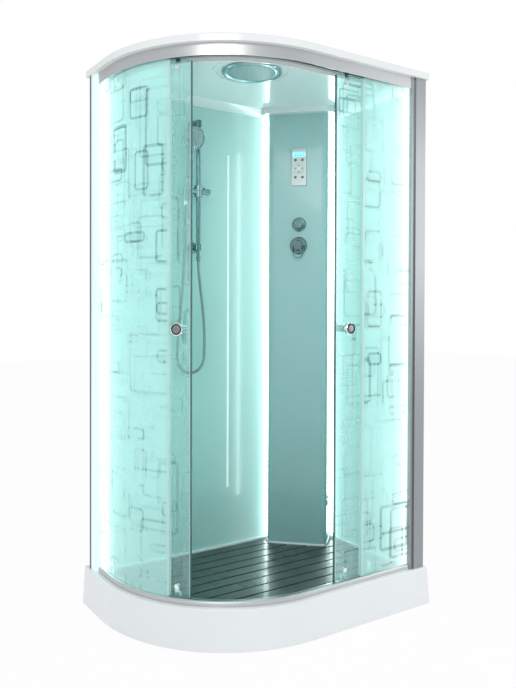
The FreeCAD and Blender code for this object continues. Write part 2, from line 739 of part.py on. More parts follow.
def floor_grid():
    """Slats along X and the battens under them; the slats' ends follow the basin."""
    bottom = SLAT_TOP_Z - SLAT_THICK
    field = basin_block(SLAT_EDGE_GAP, bottom, SLAT_TOP_Z)
    bounds = field.BoundBox
    slats = []
    y = bounds.YMax - SLAT_WIDTH
    while y + SLAT_WIDTH > bounds.YMin + SLAT_PITCH - SLAT_WIDTH:
        strip = box(bounds.XMin - 1, bounds.XMax + 1, y, y + SLAT_WIDTH, bottom - 1, SLAT_TOP_Z + 1)
        slats += [s for s in field.common(strip).Solids if s.BoundBox.XLength > 2 * SLAT_PITCH]
        y -= SLAT_PITCH
    low = BASIN_FLOOR_Z + BATTEN_FOOT_GAP
    bed = basin_block(SLAT_EDGE_GAP + BATTEN_END_GAP, low, bottom)
    battens = []
    for x in BATTEN_X:
        strip = box(x - BATTEN_WIDTH / 2, x + BATTEN_WIDTH / 2, bed.BoundBox.YMin - 1,
                    bed.BoundBox.YMax + 1, low - 1, bottom + 1)
        battens += bed.common(strip).Solids
    return group(slats + battens)


# ---- rails ----

def bottom_rail():
    out = RAIL_OUT
    top = RIM_Z + BOTTOM_RAIL_H
    shelf = BOTTOM_SHELF_Z
    skin = RAIL_SKIN
    slot0 = FIXED_GLASS_OUT - GLASS_SLOT_GAP
    slot1 = FIXED_GLASS_OUT + GLASS + GLASS_SLOT_GAP
    step = slot1 + skin
    mid = RAIL_ROUND * (1 - math.sqrt(0.5))

    def at(inset, z):
        return V(LEFT + inset, ARC_Y, z)

    corner = arc(at(out, top - RAIL_ROUND), at(out + mid, top - mid), at(out + RAIL_ROUND, top))
    points = [(out + RAIL_ROUND, top), (slot0, top), (slot0, RIM_Z + skin + skin),
              (slot1, RIM_Z + skin + skin),
              (slot1, top), (step, top), (step, shelf), (BOTTOM_SHELF_IN, shelf), (BOTTOM_SHELF_IN, RIM_Z),
              (BOTTOM_SHELF_IN - skin, RIM_Z), (BOTTOM_SHELF_IN - skin, shelf - skin),
              (step, shelf - skin), (step, RIM_Z), (out, RIM_Z), (out, top - RAIL_ROUND)]
    edges = [corner]
    for a, b in zip(points[:-1], points[1:]):
        edges.append(seg(at(*a), at(*b)))
    return along_plan(Part.Face(Part.Wire(edges)), LEFT_LIP_START, RIGHT_LIP_START)


def top_rail():
    out = RAIL_OUT
    low = TOP_RAIL_Z
    top = ROOF_UNDER_Z
    skin = RAIL_SKIN
    leg = FIXED_GLASS_OUT + GLASS + GLASS_SLOT_GAP + 2 * skin / 3
    points = [(out, low), (out + skin, low), (out + skin, top - skin), (leg, top - skin),
              (leg, low + 3 * skin),
              (leg + skin, low + 3 * skin), (leg + skin, top - skin), (RAIL_IN - skin, top - skin),
              (RAIL_IN - skin, TRACK_Z), (TRACK_OUT, TRACK_Z), (TRACK_OUT, TRACK_Z - skin),
              (RAIL_IN, TRACK_Z - skin), (RAIL_IN, top), (out, top)]
    return along_plan(section(points), LEFT_LIP_START, RIGHT_LIP_START)


# ---- wall profiles ----

def wall_profile(place):
    """Hollow extrusion with a stepped lip that holds the fixed glass.

    place turns (inset, distance back from the profile's outer end) into a plan point.
    """
    z0 = RIM_Z + PROFILE_FOOT_GAP
    height = ROOF_UNDER_Z - z0
    skin = PROFILE_SKIN
    near = PROFILE_INSET
    far = PROFILE_IN
    lip0 = near + LIP_STEP
    lip1 = lip0 + LIP_THICK
    slot0 = FIXED_GLASS_OUT - GLASS_SLOT_GAP
    slot1 = FIXED_GLASS_OUT + GLASS + GLASS_SLOT_GAP
    slot_end = PROFILE_LONG - 2 * skin - 5
    full = PROFILE_LONG + LIP_LONG

    def up(points):
        face = polygon_face([V(*place(inset, back), z0) for inset, back in points])
        return face.extrude(V(0, 0, height))

    body = up([(near, 0), (far, 0), (far, PROFILE_LONG), (lip1 + skin + 3, PROFILE_LONG),
               (lip1 + skin + 3, full),
               (lip0, full), (lip0, PROFILE_LONG), (near, PROFILE_LONG)])
    chamber = up([(near + skin, skin), (far - skin, skin), (far - skin, slot_end - skin),
                  (near + skin, slot_end - skin)])
    channel = up([(slot0, slot_end), (slot1, slot_end), (slot1, full + 1), (slot0, full + 1)])
    return body.cut(chamber).cut(channel)


def left_place(inset, back):
    return LEFT + inset, LEFT_PROFILE_END - back


def right_place(inset, back):
    return RIGHT_PROFILE_END - back, FRONT + inset


# ---- glass, seals ----

def glass_end(profile_start, sign):
    """Where a fixed glass ends inside its wall profile."""
    return profile_start + sign * (2 * PROFILE_SKIN + 3)


def left_fixed_glass():
    face = band(FIXED_GLASS_OUT, FIXED_GLASS_OUT + GLASS, FIXED_BOTTOM_Z, FIXED_TOP_Z)
    side = face.extrude(V(0, glass_end(LEFT_PROFILE_START, 1) - ARC_Y, 0))
    return join([side, round_arc(face, 0, LEFT_FIXED_DEG)])


def right_fixed_glass():
    y = FRONT + FIXED_GLASS_OUT
    end = glass_end(RIGHT_PROFILE_START, 1)
    return box(RIGHT_FIXED_X, end, y, y + GLASS, FIXED_BOTTOM_Z, FIXED_TOP_Z)


def wiper_points(z0, z1):
    """Section of the seal clipped to a fixed glass edge, with its fin to the door glass."""
    out = FIXED_GLASS_OUT
    return [(out - SEAL_LIP, z0), (DOOR_GLASS_OUT - WIPER_GAP, z0), (DOOR_GLASS_OUT - WIPER_GAP, z1),
            (out - SEAL_LIP, z1)]


def fixed_glass_seals():
    z0 = RIM_Z + BOTTOM_RAIL_H + 1
    z1 = TOP_RAIL_Z - 1
    radius = CORNER_RADIUS - FIXED_GLASS_OUT
    width_deg = math.degrees(WIPER_WIDTH / radius)
    gap_deg = math.degrees(WIPER_GAP / 4 / radius)
    left = round_arc(section(wiper_points(z0, z1)), LEFT_FIXED_DEG + gap_deg, LEFT_FIXED_DEG + width_deg)
    x1 = RIGHT_FIXED_X - WIPER_GAP / 4
    x0 = RIGHT_FIXED_X - WIPER_WIDTH
    y0 = FRONT + FIXED_GLASS_OUT - SEAL_LIP
    y1 = FRONT + DOOR_GLASS_OUT - WIPER_GAP
    return group([left, box(x0, x1, y0, y1, z0, z1)])


# ---- doors: both are drawn at rest, open until the wall, the lip or the knob is near ----

KNOB_STOP = MEETING_GAP + KNOB_FROM_EDGE + KNOB_DISC_R + KNOB_GLASS_GAP
WALL_STOP_DEG = math.degrees(math.asin((WALL_Y - DOOR_WALL_GAP - ARC_Y) / DOOR_OUT_R))
LEFT_TRAVEL_DEG = min(LEFT_FIXED_DEG - DOOR_OVERLAP_DEG + WALL_STOP_DEG,
                      90.0 - LEFT_FIXED_DEG - math.degrees(KNOB_STOP / DOOR_OUT_R))
RIGHT_TRAVEL = min(RIGHT_LIP_START - RIGHT_PARK_GAP - RIGHT_FIXED_X - DOOR_OVERLAP,
                   RIGHT_DOORWAY - KNOB_STOP - RIGHT_OPEN_MORE)
LEFT_SEAL_DEG = 90.0 - math.degrees(MEETING_GAP / DOOR_OUT_R) - LEFT_TRAVEL_DEG
LEFT_LEAD_DEG = LEFT_SEAL_DEG - math.degrees(SEAL_REACH / DOOR_OUT_R)
LEFT_TRAIL_DEG = LEFT_FIXED_DEG - DOOR_OVERLAP_DEG - LEFT_TRAVEL_DEG
RIGHT_SEAL_X = ARC_X + MEETING_GAP + RIGHT_TRAVEL
RIGHT_LEAD_X = RIGHT_SEAL_X + SEAL_REACH
RIGHT_TRAIL_X = RIGHT_FIXED_X + DOOR_OVERLAP + RIGHT_TRAVEL
TOP_AXLE_Z = TRACK_Z + WHEEL_R + WHEEL_LIFT
BOTTOM_AXLE_Z = BOTTOM_SHELF_Z + WHEEL_R + WHEEL_LIFT
TOP_BOLT_Z = TOP_AXLE_Z - TOP_CARRIER_DROP
BOTTOM_BOLT_Z = BOTTOM_AXLE_Z + BOTTOM_CARRIER_RISE


def arc_degrees(length):
    return math.degrees(length / DOOR_OUT_R)


def left_frame(degrees):
    """Places a part drawn at the origin, looking out along -Y, on the left door."""
    spot = polar(DOOR_OUT_R, degrees)

    def put(shape):
        shape.rotate(V(0, 0, 0), UP, degrees - 90)
        shape.translate(spot)
        return shape
    return put


def right_frame(x):
    def put(shape):
        shape.translate(V(x, FRONT + DOOR_GLASS_OUT, 0))
        return shape
    return put


LEFT_CARRIERS = {"lead": LEFT_LEAD_DEG - arc_degrees(LEAD_CARRIER),
                 "trail": LEFT_TRAIL_DEG + arc_degrees(TRAIL_CARRIER)}
RIGHT_CARRIERS = {"lead": RIGHT_LEAD_X + LEAD_CARRIER, "trail": RIGHT_TRAIL_X - TRAIL_CARRIER}
LEFT_KNOB_DEG = LEFT_SEAL_DEG - arc_degrees(KNOB_FROM_EDGE)
RIGHT_KNOB_X = RIGHT_SEAL_X + KNOB_FROM_EDGE


def drilled(glass, frames, knob):
    """Cuts the roller bolts' and the knob's holes."""
    for put in frames:
        for z in (TOP_BOLT_Z, BOTTOM_BOLT_Z):
            hole = rod(CARRIER_HOLE_R, V(0, -1, z), V(0, GLASS + 1, z))
            sink = Part.makeCone(CARRIER_HEAD_R + 1.6, CARRIER_HOLE_R, GLASS * 0.6, V(0, -0.5, z), V(0, 1, 0))
            glass = glass.cut(put(join([hole, sink])))
    hole = rod(KNOB_HOLE_R, V(0, -1, KNOB_Z), V(0, GLASS + 1, KNOB_Z))
    return glass.cut(knob(hole))


def left_door_glass():
    face = band(DOOR_GLASS_OUT, DOOR_GLASS_IN, DOOR_BOTTOM_Z, DOOR_TOP_Z)
    pane = round_arc(face, LEFT_TRAIL_DEG, LEFT_LEAD_DEG)
    return drilled(pane, [left_frame(d) for d in LEFT_CARRIERS.values()], left_frame(LEFT_KNOB_DEG))


def right_door_glass():
    y = FRONT + DOOR_GLASS_OUT
    pane = box(RIGHT_LEAD_X, RIGHT_TRAIL_X, y, y + GLASS, DOOR_BOTTOM_Z, DOOR_TOP_Z)
    return drilled(pane, [right_frame(x) for x in RIGHT_CARRIERS.values()], right_frame(RIGHT_KNOB_X))


def left_door_seals():
    """Bulb seal on the leading edge, hooked seal on the trailing edge."""
    z0 = DOOR_BOTTOM_Z + 1
    z1 = DOOR_TOP_Z - 1
    lead = band(DOOR_GLASS_OUT - SEAL_LIP, DOOR_GLASS_IN + SEAL_LIP, z0, z1)
    gap = arc_degrees(0.1)
    front = round_arc(lead, LEFT_LEAD_DEG + gap, LEFT_SEAL_DEG)
    hook = band(HOOK_OUT, DOOR_GLASS_IN, z0, z1)
    back = round_arc(hook, LEFT_TRAIL_DEG - arc_degrees(SEAL_LIP * 2), LEFT_TRAIL_DEG - gap)
    return group([front, back])


def right_door_seals():
    z0 = DOOR_BOTTOM_Z + 1
    z1 = DOOR_TOP_Z - 1
    y0 = FRONT + DOOR_GLASS_OUT
    front = box(RIGHT_SEAL_X, RIGHT_LEAD_X - 0.1, y0 - SEAL_LIP, y0 + GLASS + SEAL_LIP, z0, z1)
    back = box(RIGHT_TRAIL_X + 0.1, RIGHT_TRAIL_X + SEAL_LIP * 2, FRONT + HOOK_OUT, y0 + GLASS, z0, z1)
    return group([front, back])


def door_knob(put):
    """Outer knob with its bolt, and the inner knob screwed onto it."""
    stem = KNOB_STEM_L
    neck = stem + KNOB_NECK_L
    disc = neck + KNOB_DISC_L
    out = V(0, -1, 0)
    outer = turned([(0, 0.2), (KNOB_STEM_R, 0.2), (KNOB_STEM_R, stem), (KNOB_NECK_R, stem + 1),
                    (KNOB_NECK_R, neck), (KNOB_DISC_R - 1.5, neck), (KNOB_DISC_R, neck + 1.5),
                    (KNOB_DISC_R, disc - 3), (KNOB_DISC_R - 3, disc), (0, disc)], V(0, 0, KNOB_Z), out)
    bolt_end = GLASS + 0.4
    bolt = rod(KNOB_BOLT_R, V(0, 0, KNOB_Z), V(0, bolt_end, KNOB_Z))
    inner = turned([(0, bolt_end), (INNER_KNOB_R, bolt_end), (INNER_KNOB_R, INNER_KNOB_L),
                    (INNER_KNOB_R - 2, INNER_KNOB_L + 2), (0, INNER_KNOB_L + 2)], V(0, 0, KNOB_Z), V(0, 1, 0))
    return group([put(join([outer, bolt])), put(inner)])


def carrier(bolt_z, axle_z):
    """Roller carrier: countersunk bolt through the glass, plate inside it, axle at the plate's end."""
    face = GLASS
    plate_end = face + 0.2 + CARRIER_PLATE
    low = min(bolt_z, axle_z)
    high = max(bolt_z, axle_z)
    bar = box(-CARRIER_HALF_W, CARRIER_HALF_W, face + 0.2, plate_end, low, high)
    ends = [rod(CARRIER_HALF_W, V(0, face + 0.2, z), V(0, plate_end, z)) for z in (low, high)]
    bolt = rod(CARRIER_BOLT_R, V(0, GLASS * 0.3, bolt_z), V(0, plate_end, bolt_z))
    head = Part.makeCone(CARRIER_HEAD_R, CARRIER_BOLT_R, GLASS * 0.5, V(0, 0.2, bolt_z), V(0, 1, 0))
    cap = rod(CARRIER_HEAD_R, V(0, plate_end, bolt_z), V(0, plate_end + 4, bolt_z))
    wheel_near = WHEEL_OUT - DOOR_GLASS_OUT
    wheel_far = wheel_near + WHEEL_W
    spacer = rod(AXLE_HEAD_R, V(0, plate_end, axle_z), V(0, wheel_near - WHEEL_SIDE_GAP, axle_z))
    axle_end = wheel_far + WHEEL_SIDE_GAP
    axle = rod(AXLE_R, V(0, plate_end, axle_z), V(0, axle_end, axle_z))
    keeper = rod(AXLE_HEAD_R, V(0, axle_end, axle_z), V(0, axle_end + 1.2, axle_z))
    return join([bar] + ends + [bolt, head, cap, spacer, axle, keeper])


def roller_carriers(frames):
    solids = []
    for put in frames:
        solids.append(put(carrier(TOP_BOLT_Z, TOP_AXLE_Z)))
        solids.append(put(carrier(BOTTOM_BOLT_Z, BOTTOM_AXLE_Z)))
    return group(solids)


def wheel(put, axle_z):
    """Grooved wheel with a running bore."""
    bore = AXLE_R + AXLE_CLEARANCE
    near = WHEEL_OUT - DOOR_GLASS_OUT
    mid = near + WHEEL_W / 2
    far = near + WHEEL_W
    return put(turned([(bore, near), (WHEEL_R, near), (WHEEL_R - WHEEL_GROOVE, mid), (WHEEL_R, far),
                       (bore, far)],
                      V(0, 0, axle_z), V(0, 1, 0)))


def door_stops():
    """Rubber blocks on the top track, just past the wheels' outermost places."""
    z0 = TRACK_Z
    z1 = TRACK_Z + STOP_H
    wheel_deg = math.degrees(WHEEL_R / (CORNER_RADIUS - WHEEL_OUT))
    gap_deg = math.degrees(STOP_GAP / (CORNER_RADIUS - WHEEL_OUT))
    block = band(TRACK_OUT + 1, RAIL_IN - RAIL_SKIN - 1, z0, z1)
    closed_lead = LEFT_CARRIERS["lead"] + LEFT_TRAVEL_DEG + wheel_deg + gap_deg
    length_deg = math.degrees(STOP_LENGTH / (CORNER_RADIUS - WHEEL_OUT))
    left_closed = round_arc(block, closed_lead, closed_lead + length_deg)
    rest_trail = LEFT_CARRIERS["trail"] - wheel_deg - gap_deg
    y0 = polar(CORNER_RADIUS - WHEEL_OUT, rest_trail).y
    left_open = box(LEFT + TRACK_OUT + 1, LEFT + RAIL_IN - RAIL_SKIN - 1, y0, y0 + STOP_LENGTH, z0, z1)
    y_out = FRONT + TRACK_OUT + 1
    y_in = FRONT + RAIL_IN - RAIL_SKIN - 1
    x_closed = RIGHT_CARRIERS["lead"] - RIGHT_TRAVEL - WHEEL_R - STOP_GAP
    x_open = RIGHT_CARRIERS["trail"] + RIGHT_OPEN_MORE + WHEEL_R + STOP_GAP
    return group([left_closed, left_open, box(x_closed - STOP_LENGTH, x_closed, y_out, y_in, z0, z1),
                  box(x_open, x_open + STOP_LENGTH, y_out, y_in, z0, z1)])


# ---- wall panels and column ----

def back_wall_panel():
    """Moulded sheet with return edges behind it."""
    x0 = LEFT + PROFILE_IN
    x1 = JOIN_X - PANEL_GAP
    skin = box(x0, x1, WALL_Y, WALL_Y + WALL_THICK, LEDGE_Z, WALL_TOP_Z)
    block = box(x0, x1, WALL_Y, WALL_Y + WALL_RETURN, LEDGE_Z, WALL_TOP_Z)
    space = box(x0 + WALL_THICK, x1 - WALL_THICK, WALL_Y + WALL_THICK, WALL_Y + WALL_RETURN + 1,
                LEDGE_Z + WALL_THICK, WALL_TOP_Z - WALL_THICK)
    panel = join([skin, block.cut(space)])
    feed = rod(PIPE_R + 1, V(RISER_X, WALL_Y - 1, RISER_BOTTOM_Z),
               V(RISER_X, WALL_Y + WALL_THICK + 1, RISER_BOTTOM_Z))
    return panel.cut(feed)


def side_wall_panel():
    y0 = FRONT + PROFILE_IN
    y1 = JOIN_Y - PANEL_GAP
    skin = box(WALL_X, WALL_X + WALL_THICK, y0, y1, LEDGE_Z, WALL_TOP_Z)
    block = box(WALL_X, WALL_X + WALL_RETURN, y0, y1, LEDGE_Z, WALL_TOP_Z)
    space = box(WALL_X + WALL_THICK, WALL_X + WALL_RETURN + 1, y0 + WALL_THICK, y1 - WALL_THICK,
                LEDGE_Z + WALL_THICK, WALL_TOP_Z - WALL_THICK)
    return join([skin, block.cut(space)])


def corner_column():
    """Bowed sheet across the corner, with a flange on each wall and the openings of its fittings."""
    wall = COLUMN_WALL
    shell = column_prism(0, LEDGE_Z, WALL_TOP_Z, COLUMN_REACH)
    shell = shell.cut(column_prism(-wall, LEDGE_Z - 1, WALL_TOP_Z + 1, COLUMN_REACH + 1))
    reach = COLUMN_REACH
    shell = shell.cut(box(JOIN_X - COLUMN_HALF, RIGHT + reach, WALL_Y + wall, BACK + reach, 0, HEIGHT))
    shell = shell.cut(box(WALL_X + wall, RIGHT + reach, JOIN_Y - COLUMN_HALF, BACK + reach, 0, HEIGHT))
    back = box(JOIN_X, JOIN_X + COLUMN_FLANGE, WALL_Y, WALL_Y + wall, LEDGE_Z, WALL_TOP_Z)
    side = box(WALL_X, WALL_X + wall, JOIN_Y, JOIN_Y + COLUMN_FLANGE, LEDGE_Z, WALL_TOP_Z)
    shell = join([shell, back, side])
    z0, z1 = PANEL_Z
    window = box(PANEL_U - PANEL_WIDTH / 2 + 6, PANEL_U + PANEL_WIDTH / 2 - 6, -1, wall + 1, z0 + 6, z1 - 6)
    shell = shell.cut(on_column(window))
    for u, z in ((DIVERTER_U, DIVERTER_Z), (MIXER_U, MIXER_Z)):
        shell = shell.cut(on_column(rod(VALVE_BODY_R - 2, V(u, -1, z), V(u, wall + 1, z))))
    nozzle = rod(NOZZLE_BORE_R + 3, V(COLUMN_HALF - wall - 1, NOZZLE_BACK, NOZZLE_Z),
                 V(COLUMN_HALF + 1, NOZZLE_BACK, NOZZLE_Z))
    return shell.cut(on_column(nozzle))


def light_strips():
    """Opal covers of the four corner lights and of the slim bar on the long wall."""
    top = WALL_TOP_Z - STRIP_TOP_GAP
    gap = STRIP_WALL_GAP
    solids = []
    for x in (LEFT + PROFILE_IN + gap, JOIN_X - gap - STRIP_WIDTH - 8):
        solids.append(box(x, x + STRIP_WIDTH, WALL_Y - STRIP_DEEP, WALL_Y, STRIP_BOTTOM_Z, top))
    for y in (FRONT + PROFILE_IN + 8, JOIN_Y - gap - STRIP_WIDTH - 8):
        solids.append(box(WALL_X - STRIP_DEEP, WALL_X, y, y + STRIP_WIDTH, STRIP_BOTTOM_Z, top))
    solids.append(box(BAR_X - BAR_WIDTH / 2, BAR_X + BAR_WIDTH / 2, WALL_Y - BAR_DEEP, WALL_Y, *BAR_Z))
    return group(solids)


# ---- control panel ----

def button_spots():
    left = PANEL_U - BUTTON_SPREAD
    right = PANEL_U + BUTTON_SPREAD
    return {"button_upper_left": (left, BUTTON_ROW_Z[0]), "button_upper_right": (right, BUTTON_ROW_Z[0]),
            "button_lower_left": (left, BUTTON_ROW_Z[1]), "button_lower_right": (right, BUTTON_ROW_Z[1])}


def control_panel():
    """Dished cover plate; the display and the buttons sit in its openings."""
    half = PANEL_WIDTH / 2
    z0, z1 = PANEL_Z
    plate = rounded_plate(PANEL_U - half, PANEL_U + half, -PANEL_PLATE, 0, z0, z1, PANEL_CORNER)
    edges = [e for e in plate.Edges if abs(e.BoundBox.YMax + PANEL_PLATE) < 0.01]
    plate = plate.makeFillet(2.0, edges)
    skin = PANEL_SKIN
    plate = plate.cut(box(PANEL_U - half + skin, PANEL_U + half - skin, -PANEL_PLATE + skin, 1,
                          z0 + skin, z1 - skin))
    d0, d1 = DISPLAY_Z
    window = DISPLAY_WIDTH / 2 - 1.5
    plate = plate.cut(box(PANEL_U - window, PANEL_U + window, -PANEL_PLATE - 1, 0, d0 + 1.5, d1 - 1.5))
    for u, z in button_spots().values():
        plate = plate.cut(rod(BUTTON_R + BUTTON_GAP, V(u, -PANEL_PLATE - 1, z), V(u, 0, z)))
    plate = plate.cut(rod(ARROW_R + BUTTON_GAP, V(PANEL_U, -PANEL_PLATE - 1, ARROW_Z),
                          V(PANEL_U, 0, ARROW_Z)))
    return on_column(plate)


def display_window():
    half = DISPLAY_WIDTH / 2
    y = -PANEL_PLATE + PANEL_SKIN
    return on_column(box(PANEL_U - half, PANEL_U + half, y, y + DISPLAY_THICK, *DISPLAY_Z))


def push_button(radius, u, z):
    """Key with a shoulder behind the cover plate."""
    face = -PANEL_PLATE - BUTTON_PROUD
    back = -PANEL_PLATE + PANEL_SKIN + BUTTON_GAP
    shoulder = back + 1.2
    return on_column(turned([(0, -face), (radius - 1, -face), (radius, -face - 1), (radius, -back),
                             (radius + 1.2, -back), (radius + 1.2, -shoulder), (0, -shoulder)],
                            V(u, 0, z), V(0, -1, 0)))


def control_box():
    """Electronics housing behind the column, with the switch board up to the keys' backs."""
    width, deep, tall = CONTROL_BOX
    wall = COLUMN_WALL
    z = (PANEL_Z[0] + PANEL_Z[1]) / 2
    housing = rounded_plate(PANEL_U - width / 2, PANEL_U + width / 2, wall, wall + deep,
                            z - tall / 2, z + tall / 2, 5.0)
    board_u = PANEL_WIDTH / 2 - 6.5
    board_front = -PANEL_PLATE + PANEL_SKIN + BUTTON_GAP + 1.2 + BUTTON_TRAVEL + 0.3
    board = box(PANEL_U - board_u, PANEL_U + board_u, board_front, wall, PANEL_Z[0] + 6.5, PANEL_Z[1] - 6.5)
    return on_column(join([housing, board]))


# ---- valves ----

def valve_plates():
    plates = []
    for u, z, radius in ((DIVERTER_U, DIVERTER_Z, DIVERTER_PLATE_R), (MIXER_U, MIXER_Z, MIXER_PLATE_R)):
        hole = SPINDLE_R + 2
        plates.append(on_column(turned([(hole, 0), (radius, 0), (radius, 3), (radius - 4, PLATE_THICK),
                                        (hole, PLATE_THICK)], V(u, 0, z), V(0, -1, 0))))
    return group(plates)


def diverter_knob():
    """Fluted knob that turns on the diverter's spindle."""
    start = PLATE_THICK + VALVE_GAP
    end = start + DIVERTER_KNOB_L
    r = DIVERTER_KNOB_R
    bore = SPINDLE_R + SPINDLE_CLEARANCE
    knob = turned([(bore, start), (r, start), (r - 1.5, end - 3), (r - 4, end), (0, end), (0, end - 6),
                   (bore, end - 6)], V(DIVERTER_U, 0, DIVERTER_Z), V(0, -1, 0))
    for i in range(DIVERTER_FINGERS):
        a = 2 * math.pi * i / DIVERTER_FINGERS
        spot = V(DIVERTER_U + (r + 1.6) * math.cos(a), 0, DIVERTER_Z + (r + 1.6) * math.sin(a))
        knob = knob.cut(rod(3.2, spot + V(0, -start - 4, 0), spot + V(0, -end - 1, 0)))
    return on_column(knob)


def mixer_cap():
    """Rotating head of the mixer, with flats and bores for the lever's pins."""
    start = PLATE_THICK + VALVE_GAP
    end = start + MIXER_CAP_L
    r = MIXER_CAP_R
    bore = SPINDLE_R + SPINDLE_CLEARANCE
    cap = turned([(bore, start), (r, start), (r, end - 4), (r - 4, end), (0, end), (0, end - 6),
                  (bore, end - 6)],
                 V(MIXER_U, 0, MIXER_Z), V(0, -1, 0))
    for side in (-1, 1):
        flat = MIXER_U + side * CAP_FLAT
        outside = MIXER_U + side * (LEVER_LOOP_HALF + 6)
        groove = box(min(flat, outside), max(flat, outside), -end - 1, -start - 3, MIXER_Z - r, MIXER_Z + r)
        hole = rod(LEVER_PIN_R + SPINDLE_CLEARANCE, V(MIXER_U + side * (PIN_DEEP - 0.3), LEVER_Y, MIXER_Z),
                   V(outside, LEVER_Y, MIXER_Z))
        cap = cap.cut(groove).cut(hole)
    return on_column(cap)


def lever_path(z_top, y):
    """U-shaped centre line: down one side of the cap, round below it and up the other."""
    half = LEVER_LOOP_HALF
    low = MIXER_Z - LEVER_DROP + half
    left = V(MIXER_U - half, y, z_top)
    right = V(MIXER_U + half, y, z_top)
    turn0 = V(MIXER_U - half, y, low)
    turn1 = V(MIXER_U + half, y, low)
    return Part.Wire([seg(left, turn0), arc(turn0, V(MIXER_U, y, low - half), turn1), seg(turn1, right)])


def mixer_lever():
    """Wire loop that tilts on two pins in the cap's sides."""
    y = LEVER_Y
    path = lever_path(MIXER_Z, y)
    ring = Part.Wire(Part.makeCircle(LEVER_WIRE_R, V(MIXER_U - LEVER_LOOP_HALF, y, MIXER_Z), V(0, 0, -1)))
    loop = path.makePipeShell([ring], True, False)
    pieces = [loop]
    for side in (-1, 1):
        hub = V(MIXER_U + side * LEVER_LOOP_HALF, y, MIXER_Z)
        pieces.append(Part.makeSphere(LEVER_WIRE_R + 0.8, hub))
        inner = V(MIXER_U + side * PIN_DEEP, y, MIXER_Z)
        pieces.append(rod(LEVER_PIN_R, hub, inner))
    return on_column(join(pieces))


def valve_body():
    """Brass mixer and diverter body inside the column, with its two inlets, spindles and outlets."""
    deep = COLUMN_WALL
    pieces = []
    for u, z, end in ((DIVERTER_U, DIVERTER_Z, PLATE_THICK + DIVERTER_KNOB_L - 7),
                      (MIXER_U, MIXER_Z, PLATE_THICK + MIXER_CAP_L - 7)):
        pieces.append(rod(VALVE_BODY_R, V(u, deep, z), V(u, deep + VALVE_BODY_L, z)))
        pieces.append(rod(VALVE_BODY_R - 3, V(u, 0, z), V(u, deep, z)))
        pieces.append(rod(SPINDLE_R, V(u, 0, z), V(u, -end, z)))
    y = deep + 24
    pieces.append(rod(14, V(DIVERTER_U, y, DIVERTER_Z), V(MIXER_U, y, MIXER_Z)))
    pieces.append(rod(14, V(MIXER_U - INLET_SPREAD, y, MIXER_Z), V(MIXER_U + INLET_SPREAD, y, MIXER_Z)))
    for side in (-1, 1):
        u = MIXER_U + side * (INLET_SPREAD - 14)
        pieces.append(rod(INLET_COLLAR_R, V(u, y, MIXER_Z), V(u, y + INLET_COLLAR, MIXER_Z)))
        pieces.append(rod(INLET_R, V(u, y, MIXER_Z), V(u, y + INLET_COLLAR + INLET_LENGTH, MIXER_Z)))
    body = join(pieces)
    for side in (-1, 1):
        u = MIXER_U + side * (INLET_SPREAD - 14)
        bore_end = V(u, y + INLET_COLLAR + INLET_LENGTH + 1, MIXER_Z)
        body = body.cut(rod(INLET_R - 3, V(u, y, MIXER_Z), bore_end))
    return on_column(body)


# ---- riser rail, slider, hand shower ----

def riser_rail():
    return tube(RISER_R, RISER_R - RISER_WALL, V(RISER_X, RISER_Y, RISER_BOTTOM_Z + BRACKET_R),
                V(RISER_X, RISER_Y, RISER_TOP_Z - BRACKET_R))


def riser_bracket(z, outlet):
    """Rose on the wall, arm out to the riser; the lower one also carries the hose outlet."""
    wall = V(RISER_X, WALL_Y, z)
    tip = V(RISER_X, RISER_Y, z)
    out = V(0, -1, 0)
    rose = turned([(0, 0), (BRACKET_ROSE_R, 0), (BRACKET_ROSE_R, 3), (BRACKET_R, BRACKET_ROSE_L),
                   (0, BRACKET_ROSE_L)], wall, out)
    arm = rod(BRACKET_R - 3, wall, tip)
    head = rod(BRACKET_R, tip - V(0, 0, BRACKET_R), tip + V(0, 0, BRACKET_R))
    pieces = [rose, arm, head]
    if outlet:
        pieces.append(rod(HOSE_NUT_R - 2, tip, V(tip.x, tip.y, HOSE_ROUTE[0][2] + OUTLET_GAP)))
    return join(pieces)


def riser_brackets():
    """Both brackets, and the hose's lower union nut under the outlet."""
    return group([riser_bracket(RISER_BOTTOM_Z, True), riser_bracket(RISER_TOP_Z, False),
                  hose_nut(V(*HOSE_ROUTE[0]), V(*HOSE_ROUTE[1]))])


